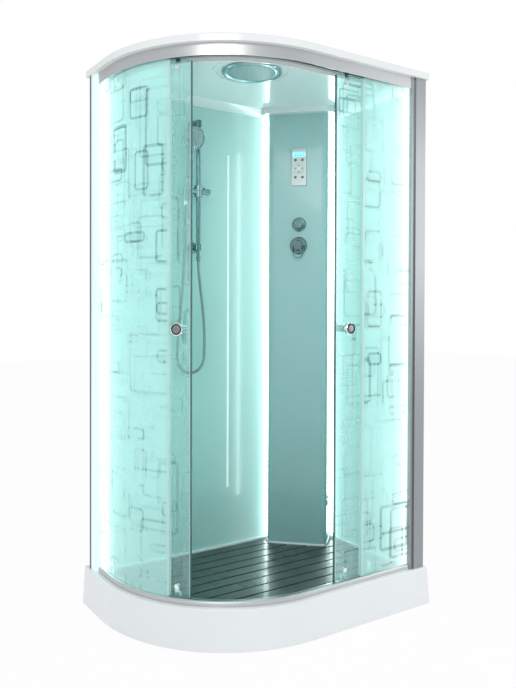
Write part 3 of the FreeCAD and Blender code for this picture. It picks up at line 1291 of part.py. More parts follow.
def rail_slider():
    """Sleeve on the riser with a cross barrel: holder pivot on the left, clamp end on the right."""
    sleeve = rod(SLIDER_R, V(RISER_X, RISER_Y, SLIDER_Z - SLIDER_H / 2),
                 V(RISER_X, RISER_Y, SLIDER_Z + SLIDER_H / 2))
    barrel = rod(BARREL_R, V(RISER_X - BARREL_LEFT, RISER_Y, SLIDER_Z),
                 V(RISER_X + BARREL_RIGHT, RISER_Y, SLIDER_Z))
    knob = turned([(0, 0), (BARREL_R + 1, 0), (BARREL_R + 1, 10), (BARREL_R - 1, 12), (0, 12)],
                  V(RISER_X + BARREL_RIGHT - 12, RISER_Y, SLIDER_Z), V(1, 0, 0))
    body = join([sleeve, barrel, knob])
    button_x = RISER_X + SLIDER_BUTTON_OFF
    well_z = SLIDER_Z + SLIDER_BUTTON_Z[0] - SLIDER_BUTTON_TRAVEL - BUTTON_GAP
    body = body.cut(rod(SLIDER_BUTTON_R + BUTTON_GAP, V(button_x, RISER_Y, well_z),
                        V(button_x, RISER_Y, SLIDER_Z + SLIDER_H)))
    body = body.cut(rod(RISER_R + SLIDER_CLEARANCE, V(RISER_X, RISER_Y, SLIDER_Z - SLIDER_H),
                        V(RISER_X, RISER_Y, SLIDER_Z + SLIDER_H)))
    pin_end = RISER_X - SLIDER_R + 4
    return body.cut(rod(HOLDER_PIN_R + AXLE_CLEARANCE, V(RISER_X - BARREL_LEFT - 1, RISER_Y, SLIDER_Z),
                        V(pin_end, RISER_Y, SLIDER_Z)))


def slider_button():
    """Release button in the top of the slider's barrel."""
    low, high = SLIDER_BUTTON_Z
    r = SLIDER_BUTTON_R
    return turned([(0, low), (r, low), (r, high - 1.5), (r - 1.5, high), (0, high)],
                  V(RISER_X + SLIDER_BUTTON_OFF, RISER_Y, SLIDER_Z), UP)


def in_handle_axes(shape):
    """Leans a shape drawn upright at the holder's centre to the handle's angle."""
    shape.rotate(V(0, 0, 0), V(1, 0, 0), HANDLE_LEAN)
    shape.translate(V(HOLDER_X, RISER_Y, SLIDER_Z))
    return shape


def handle_radius(height):
    """The handle's taper; height is measured from the holder's centre."""
    share = (height + HANDLE_BELOW) / (HEAD_ABOVE + HANDLE_BELOW)
    return HANDLE_R_LOW + (HANDLE_R_HIGH - HANDLE_R_LOW) * share


def handset_holder():
    """Split cone that grips the handle, on a pin in the slider's barrel."""
    half = HOLDER_H / 2
    low = handle_radius(-half) + HANDLE_FIT
    high = handle_radius(half) + HANDLE_FIT
    cone = turned([(low, -half), (HOLDER_R - 1.5, -half), (HOLDER_R, half), (high, half)], V(0, 0, 0), UP)
    cone = cone.cut(box(-HOLDER_SLOT / 2, HOLDER_SLOT / 2, -HOLDER_R - 5, 0, -half - 1, half + 1))
    cone = in_handle_axes(cone)
    pin_end = RISER_X - SLIDER_R + 5
    pin = rod(HOLDER_PIN_R, V(HOLDER_X + HOLDER_R - 2.5, RISER_Y, SLIDER_Z),
              V(pin_end - 1.5, RISER_Y, SLIDER_Z))
    return join([cone, pin])


def hand_shower():
    """Tapered handle and a flat round head with a recessed spray face."""
    low = -HANDLE_BELOW
    neck_z = HEAD_ABOVE - HEAD_R + 8
    handle = turned([(0, low), (handle_radius(low), low), (handle_radius(neck_z), neck_z), (0, neck_z)],
                    V(0, 0, 0), UP)
    blend = Part.makeLoft([
        Part.Wire(Part.makeCircle(handle_radius(neck_z), V(0, 0, neck_z), UP)),
        Part.Wire(Part.Ellipse(V(0, -2, neck_z + 16), HEAD_NECK + 14, HEAD_NECK - 2).toShape()),
    ], True, False)
    out = V(0, -math.cos(math.radians(HEAD_TILT)), -math.sin(math.radians(HEAD_TILT)))
    centre = V(0, 4, HEAD_ABOVE)
    rim = HEAD_THICK
    head = turned([(0, -6), (HEAD_R * 0.45, -5), (HEAD_R * 0.85, 2), (HEAD_R, 7), (HEAD_R, rim - 2),
                   (HEAD_R - 2, rim), (HEAD_R - 6, rim), (HEAD_R - 7, rim - 2), (0, rim - 2)], centre, out)
    return in_handle_axes(join([handle, blend, head]))


# ---- hose ----

def hose_path(points):
    """Straight runs joined by tangent arcs, each as large as 0.45 of its shorter run allows."""
    spots = [V(*p) for p in points]
    edges = []
    radii = []
    start = spots[0]
    for before, corner, after in zip(spots, spots[1:], spots[2:]):
        into = corner - before
        away = after - corner
        trim = 0.45 * min(into.Length, away.Length)
        into.normalize()
        away.normalize()
        half_turn = into.getAngle(away) / 2
        radii.append(trim / math.tan(half_turn))
        first = corner - into * trim
        last = corner + away * trim
        inward = away - into
        inward.normalize()
        sagitta = radii[-1] * (1 / math.cos(half_turn) - 1)
        edges.append(seg(start, first))
        edges.append(arc(first, corner + inward * sagitta, last))
        start = last
    edges.append(seg(start, spots[-1]))
    return Part.Wire(edges), radii


def shower_hose():
    path, radii = hose_path(HOSE_ROUTE)
    start = V(*HOSE_ROUTE[0])
    run = V(*HOSE_ROUTE[1]) - start
    ring = Part.Wire(Part.makeCircle(HOSE_R, start, run))
    hose = path.makePipeShell([ring], True, False)
    ideal = math.pi * HOSE_R ** 2 * path.Length
    print("hose length %.0f mm, smallest radius %.0f mm, volume ratio %.4f"
          % (path.Length, min(radii), hose.Volume / ideal))
    print("hose radii", [round(r) for r in radii])
    return hose


def hose_nut(end, towards):
    """Union nut round a hose end; towards is the next point of the hose's route."""
    run = towards - end
    run.normalize()
    bore = HOSE_R + HOSE_NUT_GAP
    return turned([(bore, 0), (HOSE_NUT_R, 0), (HOSE_NUT_R, HOSE_NUT_L - 4), (HOSE_NUT_R - 1.5, HOSE_NUT_L),
                   (bore, HOSE_NUT_L)], end, run)


def handset_nut():
    return hose_nut(V(*HOSE_ROUTE[-1]), V(*HOSE_ROUTE[-2]))


# ---- roof ----

def roof_panel():
    """Moulded roof: a thin edge over the top rail, a dropped band along the walls and a raised ceiling."""
    inset = ROOF_INSET
    wall = ROOF_WALL
    top = HEIGHT
    edge = plan_prism(inset, ROOF_UNDER_Z, top, RIGHT - inset, BACK - inset)
    lips = [e for e in edge.Edges if abs(e.BoundBox.ZMin - top) < 0.01]
    edge = edge.makeFillet(ROOF_ROUND, lips)
    right = WALL_X + WALL_THICK
    back = WALL_Y + WALL_THICK
    drop = plan_prism(ROOF_DROP_INSET, WALL_TOP_Z, ROOF_UNDER_Z, right, back)
    body = join([edge, drop])
    rim = CEILING_BAND
    slope = CEILING_SLOPE
    low = ROOF_DROP_INSET + rim
    ceiling = plan_loft(low, WALL_TOP_Z - 1, low + slope, CEILING_Z, WALL_X - rim, WALL_Y - rim,
                        WALL_X - rim - slope, WALL_Y - rim - slope)
    ceiling = ceiling.cut(column_prism(rim + slope / 2, WALL_TOP_Z - 2, CEILING_Z + 1, COLUMN_REACH))
    body = body.cut(ceiling)
    hollow = plan_prism(ROOF_DROP_INSET + wall, CEILING_Z + DECK, top + 1, RIGHT - ROOF_RECESS_INSET,
                        BACK - ROOF_RECESS_INSET)
    body = body.cut(hollow)
    tray = plan_prism(ROOF_RECESS_INSET, ROOF_UNDER_Z + wall, top + 1, RIGHT - ROOF_RECESS_INSET,
                      BACK - ROOF_RECESS_INSET)
    body = body.cut(tray)
    ring = tube(CEILING_RING_R, CEILING_RING_R - 12, V(RAIN_X, RAIN_Y, CEILING_Z - CEILING_RING_H),
                V(RAIN_X, RAIN_Y, CEILING_Z))
    body = join([body, ring])
    x, y, z = column_spot(DIVERTER_U, RAIN_PIPE_DEPTH, 0)
    body = body.cut(rod(PIPE_R + PIPE_BEND, V(x, y, WALL_TOP_Z - 1), V(x, y, top)))
    return body.cut(rod(RAIN_NECK_R + 1, V(RAIN_X, RAIN_Y, CEILING_Z - 1),
                        V(RAIN_X, RAIN_Y, CEILING_Z + DECK + 1)))


def rain_head():
    """Round overhead shower with a stepped rim and a shallow spray face."""
    base = V(RAIN_X, RAIN_Y, CEILING_Z)
    down = V(0, 0, -1)
    neck = RAIN_NECK_R
    rise = -(DECK + 14)
    return turned([(0, rise), (neck, rise), (neck, 0), (RAIN_R, 0), (RAIN_R, RAIN_DROP - 4),
                   (RAIN_R - 4, RAIN_DROP), (RAIN_R - RAIN_RIM, RAIN_DROP),
                   (RAIN_PLATE_R, RAIN_DROP - RAIN_PLATE_STEP),
                   (RAIN_PLATE_R - 6, RAIN_DROP - RAIN_PLATE_STEP - 1),
                   (0, RAIN_DROP - RAIN_PLATE_STEP - 1)], base, down)


# ---- services in the corner space ----

def steam_generator():
    width, deep, tall = BOILER
    y0 = BOILER_DEPTH
    case = box(-width / 2, width / 2, y0, y0 + deep, LEDGE_Z, LEDGE_Z + tall)
    edges = [e for e in case.Edges if abs(e.tangentAt(e.FirstParameter).z) > 0.9]
    case = case.makeFillet(BOILER_ROUND, edges)
    lid = rod(22, V(-40, y0 + deep / 2, LEDGE_Z + tall), V(-40, y0 + deep / 2, LEDGE_Z + tall + 12))
    return on_column(join([case, lid]))


def steam_nozzle():
    """Round outlet in the column's right side, with its pipe from the boiler's top."""
    u0 = COLUMN_HALF
    spot = V(u0, NOZZLE_BACK, NOZZLE_Z)
    out = V(1, 0, 0)
    rose = turned([(NOZZLE_BORE_R, 0), (NOZZLE_R, 0), (NOZZLE_R, 2), (NOZZLE_R - 8, 6), (NOZZLE_BORE_R, 6)],
                  spot, out)
    inner_end = u0 - COLUMN_WALL - 14
    sleeve = tube(NOZZLE_BORE_R + 2.5, NOZZLE_BORE_R, V(u0, NOZZLE_BACK, NOZZLE_Z),
                  V(inner_end, NOZZLE_BACK, NOZZLE_Z))
    return on_column(join([rose, sleeve]))


def bent_pipe(points, radius, bend):
    """Pipe along straight runs with equal bends."""
    spots = [V(*p) for p in points]
    edges = []
    start = spots[0]
    for before, corner, after in zip(spots, spots[1:], spots[2:]):
        into = corner - before
        away = after - corner
        into.normalize()
        away.normalize()
        half_turn = into.getAngle(away) / 2
        trim = bend * math.tan(half_turn)
        inward = away - into
        inward.normalize()
        first = corner - into * trim
        last = corner + away * trim
        edges.append(seg(start, first))
        edges.append(arc(first, corner + inward * bend * (1 / math.cos(half_turn) - 1), last))
        start = last
    edges.append(seg(start, spots[-1]))
    ring = Part.Wire(Part.makeCircle(radius, spots[0], spots[1] - spots[0]))
    return Part.Wire(edges).makePipeShell([ring], True, False)


def feed_pipes():
    """Pipes from the diverter to the rain head and to the hand shower outlet, and the steam pipe."""
    y = COLUMN_WALL + 24
    top_z = CEILING_Z + DECK + PIPE_R + 0.3
    spot = column_spot
    riser = spot(DIVERTER_U, RAIN_PIPE_DEPTH, top_z)
    low = spot(DIVERTER_U, y + 22.3, DIVERTER_Z)
    up = spot(DIVERTER_U, RAIN_PIPE_DEPTH, DIVERTER_Z)
    neck = V(RAIN_X, RAIN_Y, top_z)
    toward = V(*riser) - neck
    toward.normalize()
    neck += toward * (RAIN_NECK_R + 0.3)
    rain = bent_pipe([low, up, riser, (neck.x, neck.y, neck.z)], PIPE_R, PIPE_BEND)
    back_y = WALL_Y + WALL_RETURN + PIPE_R + 1
    left = spot(DIVERTER_U - VALVE_BODY_R - 0.3, y, DIVERTER_Z)
    across = spot(DIVERTER_U - HAND_PIPE_RUN, y, DIVERTER_Z)
    corner = (JOIN_X + 2 * COLUMN_FLANGE, back_y, DIVERTER_Z)
    drop = (RISER_X, back_y, DIVERTER_Z)
    outlet = (RISER_X, back_y, RISER_BOTTOM_Z)
    hand = bent_pipe([left, across, corner, drop, outlet, (RISER_X, WALL_Y + 0.3, RISER_BOTTOM_Z)],
                     PIPE_R, 14)
    boiler_top = LEDGE_Z + BOILER[2] + 0.3
    nozzle_u = COLUMN_HALF - COLUMN_WALL - 14.3
    high_z = boiler_top + STEAM_PIPE_RISE
    rise = spot(STEAM_PIPE_U, BOILER_DEPTH + STEAM_PIPE_IN, boiler_top)
    high = spot(STEAM_PIPE_U, BOILER_DEPTH + STEAM_PIPE_IN, high_z)
    ahead = spot(STEAM_PIPE_U, NOZZLE_BACK, high_z)
    down = spot(STEAM_PIPE_U, NOZZLE_BACK, NOZZLE_Z)
    steam = bent_pipe([rise, high, ahead, down, spot(nozzle_u, NOZZLE_BACK, NOZZLE_Z)], PIPE_R, 16)
    return group([rain, hand, steam])


# ---- everything ----

def all_parts():
    left_frames = [left_frame(d) for d in LEFT_CARRIERS.values()]
    right_frames = [right_frame(x) for x in RIGHT_CARRIERS.values()]
    parts = {
        "shower_tray": shower_tray(),
        "support_frame": support_frame(),
        "levelling_feet": levelling_feet(),
        "waste_trap": waste_trap(),
        "drain_cover": drain_cover(),
        "floor_grid": floor_grid(),
        "bottom_rail": bottom_rail(),
        "top_rail": top_rail(),
        "left_wall_profile": wall_profile(left_place),
        "right_wall_profile": wall_profile(right_place),
        "left_fixed_glass": left_fixed_glass(),
        "right_fixed_glass": right_fixed_glass(),
        "fixed_glass_seals": fixed_glass_seals(),
        "door_stops": door_stops(),
        "left_door_glass": left_door_glass(),
        "left_door_seals": left_door_seals(),
        "left_door_knob": door_knob(left_frame(LEFT_KNOB_DEG)),
        "left_roller_carriers": roller_carriers(left_frames),
        "right_door_glass": right_door_glass(),
        "right_door_seals": right_door_seals(),
        "right_door_knob": door_knob(right_frame(RIGHT_KNOB_X)),
        "right_roller_carriers": roller_carriers(right_frames),
        "back_wall_panel": back_wall_panel(),
        "side_wall_panel": side_wall_panel(),
        "corner_column": corner_column(),
        "light_strips": light_strips(),
        "control_panel": control_panel(),
        "display_window": display_window(),
        "arrow_pad": push_button(ARROW_R, PANEL_U, ARROW_Z),
        "control_box": control_box(),
        "valve_plates": valve_plates(),
        "diverter_knob": diverter_knob(),
        "mixer_cap": mixer_cap(),
        "mixer_lever": mixer_lever(),
        "valve_body": valve_body(),
        "riser_rail": riser_rail(),
        "riser_brackets": riser_brackets(),
        "rail_slider": rail_slider(),
        "slider_button": slider_button(),
        "handset_holder": handset_holder(),
        "hand_shower": hand_shower(),
        "shower_hose": shower_hose(),
        "handset_nut": handset_nut(),
        "roof_panel": roof_panel(),
        "rain_head": rain_head(),
        "steam_generator": steam_generator(),
        "steam_nozzle": steam_nozzle(),
        "feed_pipes": feed_pipes(),
    }
    for side, frames in (("left", left_frames), ("right", right_frames)):
        for name, put in zip(("lead", "trail"), frames):
            parts["%s_top_%s_wheel" % (side, name)] = wheel(put, TOP_AXLE_Z)
            parts["%s_bottom_%s_wheel" % (side, name)] = wheel(put, BOTTOM_AXLE_Z)
    for name, (u, z) in button_spots().items():
        parts[name] = push_button(BUTTON_R, u, z)
    return parts


def main():
    os.makedirs("parts", exist_ok=True)
    for name, shape in all_parts().items():
        if not shape.isValid() or not shape.Solids:
            print("NOT VALID", name)
        shape.exportStep(os.path.join("parts", name + ".step"))


main()
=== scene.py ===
import json
import math

import bmesh
import bpy
import numpy as np
from bpy.props import FloatProperty, FloatVectorProperty, IntProperty, PointerProperty
from mathutils import Matrix


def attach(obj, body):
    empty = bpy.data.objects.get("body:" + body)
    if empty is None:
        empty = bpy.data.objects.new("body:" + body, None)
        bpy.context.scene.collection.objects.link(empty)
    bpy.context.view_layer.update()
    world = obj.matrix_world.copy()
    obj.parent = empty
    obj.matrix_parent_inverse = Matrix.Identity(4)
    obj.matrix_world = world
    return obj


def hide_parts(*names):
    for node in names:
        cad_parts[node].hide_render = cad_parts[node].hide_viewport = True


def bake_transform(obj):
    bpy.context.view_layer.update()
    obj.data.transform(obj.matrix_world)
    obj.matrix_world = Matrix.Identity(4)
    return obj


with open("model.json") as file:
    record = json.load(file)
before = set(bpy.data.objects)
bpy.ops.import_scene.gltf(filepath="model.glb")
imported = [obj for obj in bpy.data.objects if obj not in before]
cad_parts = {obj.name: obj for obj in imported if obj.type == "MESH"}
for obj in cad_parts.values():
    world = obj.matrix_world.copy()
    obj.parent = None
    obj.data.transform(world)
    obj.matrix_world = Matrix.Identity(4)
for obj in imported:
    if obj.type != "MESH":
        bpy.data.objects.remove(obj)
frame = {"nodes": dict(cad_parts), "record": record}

bl_info = {
    "name": "Steam shower cabin",
    "version": (1, 0, 0),
    "blender": (4, 5, 0),
    "location": "View3D > Sidebar > Shower",
    "description": "Finishes, fittings and studio for a steam shower cabin",
    "category": "Object",
}

# ---- places that the fittings share with the CAD model, in metres ----
ARC_CENTRE = (-0.010, 0.190)       # plan centre of the rounded corner
FACE_CENTRE = (0.348, 0.191)       # plan centre of the column's face
FIXED_GLASS_R = 0.5485             # outer face of the curved fixed glass, from the arc's centre
DOOR_GLASS_R = 0.533               # outer face of the curved door
FIXED_GLASS_Y = -0.3585            # outer face of the flat fixed glass
DOOR_GLASS_Y = -0.343              # outer face of the flat door
GLASS_HALF = 0.0025                # half of the glass's thickness
POST_BACK_Y = 0.352                # where the left profile's painted shade begins
SLAT_PITCH = 0.067
STRIPS = ((-0.533, 0.352), (0.296, 0.352), (0.562, -0.327), (0.562, 0.190))   # in plan
BAR_X = 0.073                      # middle of the slim light bar
BAR_HALF = 0.02                    # covers within this of it are the bar, which is dimmer
WALL_MIDDLE = (0.567, 0.357)       # x of the side wall's middle, y of the back wall's

# ---- door seals: where the dark core lies, as polar degrees or x ----
LEFT_CORE = (42.25, 42.9)
RIGHT_CORE = (0.1285, 0.1335)

# ---- the print: shift along and up, cell, half sizes of a frame, half width of its line ----
FRAME_LAYERS = (
    (0.00, 0.00, (0.215, 0.31), (0.092, 0.14), 0.0034),
    (0.07, 0.11, (0.185, 0.27), (0.078, 0.11), 0.0042),
    (0.13, 0.05, (0.125, 0.22), (0.050, 0.075), 0.0028),
    (0.03, 0.21, (0.270, 0.49), (0.105, 0.20), 0.0032),
    (0.16, 0.02, (0.150, 0.18), (0.055, 0.026), 0.0030),
)
FRAME_CORNER = 0.012               # radius of a frame's corners
FRAME_EDGE = 0.0014                # how soft the edge of its line is

# ---- sprays: profiles are (radius, height) in metres ----
RAIN_CENTRE = (-0.107, -0.117)
RAIN_FACE_Z = 2.145
RAIN_PITCH = 0.0125                # between the rings of nozzles
RAIN_PLATE = [(0.0, 0.0006), (0.080, 0.0006), (0.0905, 0.0006), (0.0915, 0.0002), (0.0915, -0.0002)]
HOLDER = (-0.166, 0.305, 1.739)    # centre of the handset's socket
HANDLE_LEAN = math.radians(14.5)
HEAD_TILT = math.radians(12.0)
HEAD_AT = (0.0, 0.004, 0.222)      # middle of the head, from the holder, before the handle leans
HEAD_DEPTH = 0.012                 # from there to the spray face
HEAD_PITCH = 0.0088                # between its rings of nozzles
HEAD_PLATE = [(0.0, 0.0006), (0.040, 0.0006), (0.0435, 0.0003), (0.0445, -0.0003)]
HEAD_SCALE = 0.999                 # of the nozzles' places and sizes on the hand shower
NOZZLE = [(0.0, 0.0030), (0.0008, 0.0029), (0.0013, 0.0022), (0.0017, 0.0), (0.0017, -0.0008)]
NOZZLE_SIDES = 8
DOWNWARD = (1.0, -1.0, -1.0)       # turns a shape drawn upright to face the floor

# ---- door knobs ----
KNOB_Z = 1.150
KNOB_OUT = 0.050                   # from the door glass to the knob's face
LEFT_KNOB_DEG = 38.575
RIGHT_KNOB_X = 0.168
KNOB_DOME = [(0.0, 0.0012), (0.008, 0.0011), (0.0115, 0.0008), (0.0136, 0.0004), (0.0140, -0.0004)]
KNOB_RING = [(0.0142, -0.0004), (0.0145, 0.0007), (0.0165, 0.0008), (0.0197, 0.0004), (0.0199, -0.0004)]
KNOB_SIDES = 48

# ---- control panel: u runs along the column's face from its centre ----
KEY_FACE = -0.009                  # depths behind the column's face, so these two stand out from it
DISPLAY_FACE = -0.0046
PANEL_U = 0.008
DISPLAY_Z = 1.9365
BARS = 4
BAR_STEP = 0.0125
BAR_SIZE = (0.007, 0.003)
BARS_FROM = (PANEL_U - 0.020, 1.931)
ARROW_PAD = (PANEL_U, 1.871)
ARROW = [(-0.0055, 0.0125), (0.0, 0.0185), (0.0055, 0.0125)]
DIAMOND = [(0.0, -0.0075), (0.0075, 0.0), (0.0, 0.0075), (-0.0075, 0.0)]
KEY_U = {"left": -0.0083, "right": 0.0243}
KEY_Z = {"upper": 1.9105, "lower": 1.8308}
DASH = (0.005, 0.001)              # mark on each button

# ---- hose ----
HOSE_ROUTE = [
    (-0.110, 0.305, 1.452), (-0.109, 0.3055, 1.405), (-0.099, 0.306, 1.322), (-0.086, 0.307, 1.232),
    (-0.0775, 0.308, 1.150), (-0.075, 0.309, 1.068), (-0.0765, 0.310, 0.984), (-0.115, 0.311, 0.941),
    (-0.171, 0.3115, 0.942), (-0.211, 0.312, 0.983), (-0.208, 0.312, 1.070), (-0.199, 0.3115, 1.166),
    (-0.188, 0.311, 1.272), (-0.179, 0.3115, 1.388), (-0.171, 0.3135, 1.500), (-0.167, 0.321, 1.590),
    (-0.166, 0.32673, 1.65496), (-0.166, 0.31634, 1.69514),
]
HOSE_JOIN_Z = 1.300                # the rising strand is cut here, and the hose's last piece starts
HOSE_HANGS = (-0.169, 0.316, 1.600)   # a point near the hose's last piece, below the holder
HOSE_TILTS = (-0.166, 0.316, 1.680)
HOSE_SIDES = 14
RINGS_PER_RIB = 5
RIB_DEPTH = 0.07                   # share of the radius
HOSE_TIP = 0.9                     # share of the radius left at a piece's ends

# ---- stage ----
FLOOR_HALF = 14.0
KEY_LAMP = ((-3.2, -3.6, 3.4), 2.6)   # place and size
FILL_LAMP = ((3.4, -3.0, 2.0), 2.2)
LAMP_TARGET = (0.0, 0.0, 1.0)
WHITE = (1.0, 1.0, 1.0, 1.0)

# ---- the photograph's camera, in metres, radians and pixels of a 516 by 688 frame ----
CAMERA_AT = (-1.6488, -2.4645, 1.22725)
CAMERA_YAW = 0.97737
CAMERA_PITCH = -0.01288
CAMERA_ROLL = -0.00312
FOCAL_PX = 716.25
CENTRE_PX = (260.02, 317.30)
FRAME_PX = (516.0, 688.0)
SENSOR_MM = 36.0


# ---- shader helpers ----

class Value:
    """A node's output; arithmetic on it adds Math nodes to its material."""

    def __init__(self, finish, socket):
        self.finish = finish
        self.socket = socket

    def math(self, operation, *values):
        return self.finish.math(operation, *values)

    def __add__(self, other):
        return self.math("ADD", self, other)

    __radd__ = __add__

    def __sub__(self, other):
        return self.math("SUBTRACT", self, other)

    def __rsub__(self, other):
        return self.math("SUBTRACT", other, self)

    def __mul__(self, other):
        return self.math("MULTIPLY", self, other)

    __rmul__ = __mul__

    def __truediv__(self, other):
        return self.math("DIVIDE", self, other)

    def __pow__(self, other):
        return self.math("POWER", self, other)

    def __abs__(self):
        return self.math("ABSOLUTE", self)

    def floor(self):
        return self.math("FLOOR", self)

    def low(self, other):
        return self.math("MINIMUM", self, other)

    def high(self, other):
        return self.math("MAXIMUM", self, other)

    def above(self, edge):
        return self.math("GREATER_THAN", self, edge)

    def ramp(self, start, end):
        """0 below start, 1 above end and smooth between."""
        settings = {"interpolation_type": "SMOOTHSTEP"}
        return self.finish.node("ShaderNodeMapRange", settings, self, start, end, 0.0, 1.0)[0]


class Finish:
    """A material, built one node at a time."""

    def __init__(self, name):
        self.material = bpy.data.materials.new(name)
        self.material.use_nodes = True
        self.tree = self.material.node_tree
        self.tree.nodes.clear()
        self.output = self.tree.nodes.new("ShaderNodeOutputMaterial")

    def feed(self, socket, value):
        if isinstance(value, Value):
            self.tree.links.new(value.socket, socket)
        elif value is not None:
            socket.default_value = value

    def node(self, kind, settings=None, *values, **named):
        """Adds a node: its settings first, then its inputs by order or by name."""
        made = self.tree.nodes.new(kind)
        for key, value in (settings or {}).items():
            setattr(made, key, value)
        for socket, value in zip(made.inputs, values):
            self.feed(socket, value)
        for key, value in named.items():
            self.feed(made.inputs[key.replace("_", " ")], value)
        return [Value(self, socket) for socket in made.outputs]

    def math(self, operation, *values):
        return self.node("ShaderNodeMath", {"operation": operation}, *values)[0]

    def place(self):
        """Object coordinates, as a vector and as x, y and z."""
        vector = self.node("ShaderNodeTexCoord")[3]
        return [vector] + self.node("ShaderNodeSeparateXYZ", None, vector)

    def vector(self, x, y, z):
        return self.node("ShaderNodeCombineXYZ", None, x, y, z)[0]

    def stretch(self, vector, scale):
        return self.node("ShaderNodeMapping", None, vector, (0, 0, 0), (0, 0, 0), scale)[0]

    def noise(self, vector, scale, detail=2.0, roughness=0.5):
        return self.node("ShaderNodeTexNoise", None, Vector=vector, Scale=scale, Detail=detail,
                         Roughness=roughness)[0]

    def mix(self, factor, first, second):
        """Colour between first and second."""
        made = self.tree.nodes.new("ShaderNodeMix")
        made.data_type = "RGBA"
        self.feed(made.inputs[0], factor)
        self.feed(made.inputs[6], first)
        self.feed(made.inputs[7], second)
        return Value(self, made.outputs[2])

    def bump(self, height, strength, distance):
        return self.node("ShaderNodeBump", None, Strength=strength, Distance=distance, Height=height)[0]

    def principled(self, **named):
        return self.node("ShaderNodeBsdfPrincipled", None, **named)[0]

    def blend(self, factor, first, second):
        return self.node("ShaderNodeMixShader", None, factor, first, second)[0]

    def glow(self, x, y, near, far):
        """Light spilled round the strips: it falls off with the distance in plan from each one."""
        total = None
        for sx, sy in STRIPS:
            distance = ((x - sx) ** 2.0 + (y - sy) ** 2.0) ** 0.5
            close = self.math("EXPONENT", distance * (-1.0 / near))
            spill = close + 0.35 * self.math("EXPONENT", distance * (-1.0 / far))
            total = spill if total is None else total + spill
        return total

    def tint(self, colour, level):
        """A colour scaled by a varying level."""
        return self.node("ShaderNodeVectorMath", {"operation": "SCALE"}, colour, None, None, level)[0]

    def done(self, shader):
        self.tree.links.new(shader.socket, self.output.inputs["Surface"])
        return self.material


def rgb(colour):
    return (colour[0], colour[1], colour[2], 1.0)


# ---- finishes ----

def acrylic(name, colour, shine):
    """Moulded glossy acrylic: faint cloudiness in the colour, soft waviness in the gloss."""
    f = Finish(name)
    at = f.place()[0]
    cloud = f.noise(at, 3.0, 3.0)
    fine = f.noise(at, 70.0, 2.0)
    shade = f.mix(cloud.ramp(0.3, 0.7), rgb([c * 0.965 for c in colour]), rgb(colour))
    rough = shine + 0.07 * cloud + 0.04 * fine
    normal = f.bump(fine, 0.04, 0.002)
    return f.done(f.principled(Base_Color=shade, Roughness=rough, Normal=normal, Coat_Weight=0.35,
                               Coat_Roughness=0.06))


def drawn_metal(name, colour, rough, grain):
    """Satin metal with fine lines along its length; grain is the noise scale on each axis."""
    f = Finish(name)
    at = f.place()[0]
    lines = f.noise(f.stretch(at, grain), 1.0, 4.0, 0.6)
    cloud = f.noise(at, 4.0, 2.0)
    shade = f.mix(lines, rgb([c * 0.9 for c in colour]), rgb(colour))
    roughness = rough + 0.14 * lines + 0.06 * cloud
    return f.done(f.principled(Base_Color=shade, Metallic=1.0, Roughness=roughness,
                               Normal=f.bump(lines, 0.05, 0.0005)))


def lit_post():
    """Satin post at the left wall: pale and glowing as painted light from the strip beside it, and dark at
    its back edge as painted shade.
    """
    f = Finish("lit_post")
    at, _, y, _ = f.place()
    lines = f.noise(f.stretch(at, (900.0, 900.0, 3.0)), 1.0, 4.0, 0.6)
    # painted shade: past its back edge the post turns dark
    back = ((y - POST_BACK_Y) / 0.004).ramp(0.0, 1.0)
    shade = f.mix(back, f.mix(lines, rgb((0.56, 0.70, 0.69)), rgb((0.72, 0.84, 0.83))),
                  rgb((0.10, 0.17, 0.17)))
    # painted light: emission where the strip beside the post would light it
    spill = f.tint((0.86, 1.0, 0.99), (1.0 - back) * (0.26 + 0.1 * lines))
    return f.done(f.principled(Base_Color=shade, Metallic=0.35, Roughness=0.32 + 0.14 * lines,
                               Emission_Color=spill, Emission_Strength=1.0))


def chrome(name, colour, rough):
    """Polished plating with faint water marks."""
    f = Finish(name)
    at = f.place()[0]
    marks = f.noise(at, 45.0, 4.0, 0.65)
    haze = marks.ramp(0.52, 0.75)
    shade = f.mix(haze, rgb(colour), rgb([c * 0.9 for c in colour]))
    return f.done(f.principled(Base_Color=shade, Metallic=1.0, Roughness=rough + 0.10 * haze))


def moulded(name, colour, rough, speck=120.0):
    """Moulded plastic or rubber with a fine eggshell grain."""
    f = Finish(name)
    at = f.place()[0]
    grain = f.noise(at, speck, 3.0, 0.6)
    cloud = f.noise(at, 6.0, 2.0)
    shade = f.mix(cloud, rgb([c * 0.88 for c in colour]), rgb(colour))
    return f.done(f.principled(Base_Color=shade, Roughness=rough + 0.15 * grain,
                               Normal=f.bump(grain, 0.12, 0.0006)))


def wall_gloss(name, low_colour, high_colour, rough, waviness, glow):
    """Back-painted wall sheet with a slight wave in its gloss. Its colour is darker towards the floor as
    painted shade, and near the strips it glows as painted light spilled from them.
    """
    f = Finish(name)
    at, x, y, z = f.place()
    # painted shade: the colour runs from the low colour at the floor to the high colour at the top
    height = z.ramp(0.1, 2.1)
    cloud = f.noise(at, 2.5, 2.0)
    shade = f.mix(height, rgb(low_colour), rgb(high_colour))
    shade = f.mix(0.08 * cloud, shade, WHITE)
    fine = f.noise(f.stretch(at, (9.0, 9.0, 1.5)), 1.0, 2.0)
    # painted light: emission where the strips would light the sheet, on the cabin's inside only
    inside = (1.0 - y.above(WALL_MIDDLE[1])) * (1.0 - x.above(WALL_MIDDLE[0]))
    spill = f.tint((0.80, 1.0, 0.98), f.glow(x, y, 0.022, 0.11) * (0.85 + 0.3 * height) * inside)
    return f.done(f.principled(Base_Color=shade, Roughness=rough + 0.08 * cloud,
                               Normal=f.bump(fine, waviness, 0.004), Coat_Weight=0.4, Coat_Roughness=0.05,
                               Emission_Color=spill, Emission_Strength=glow))


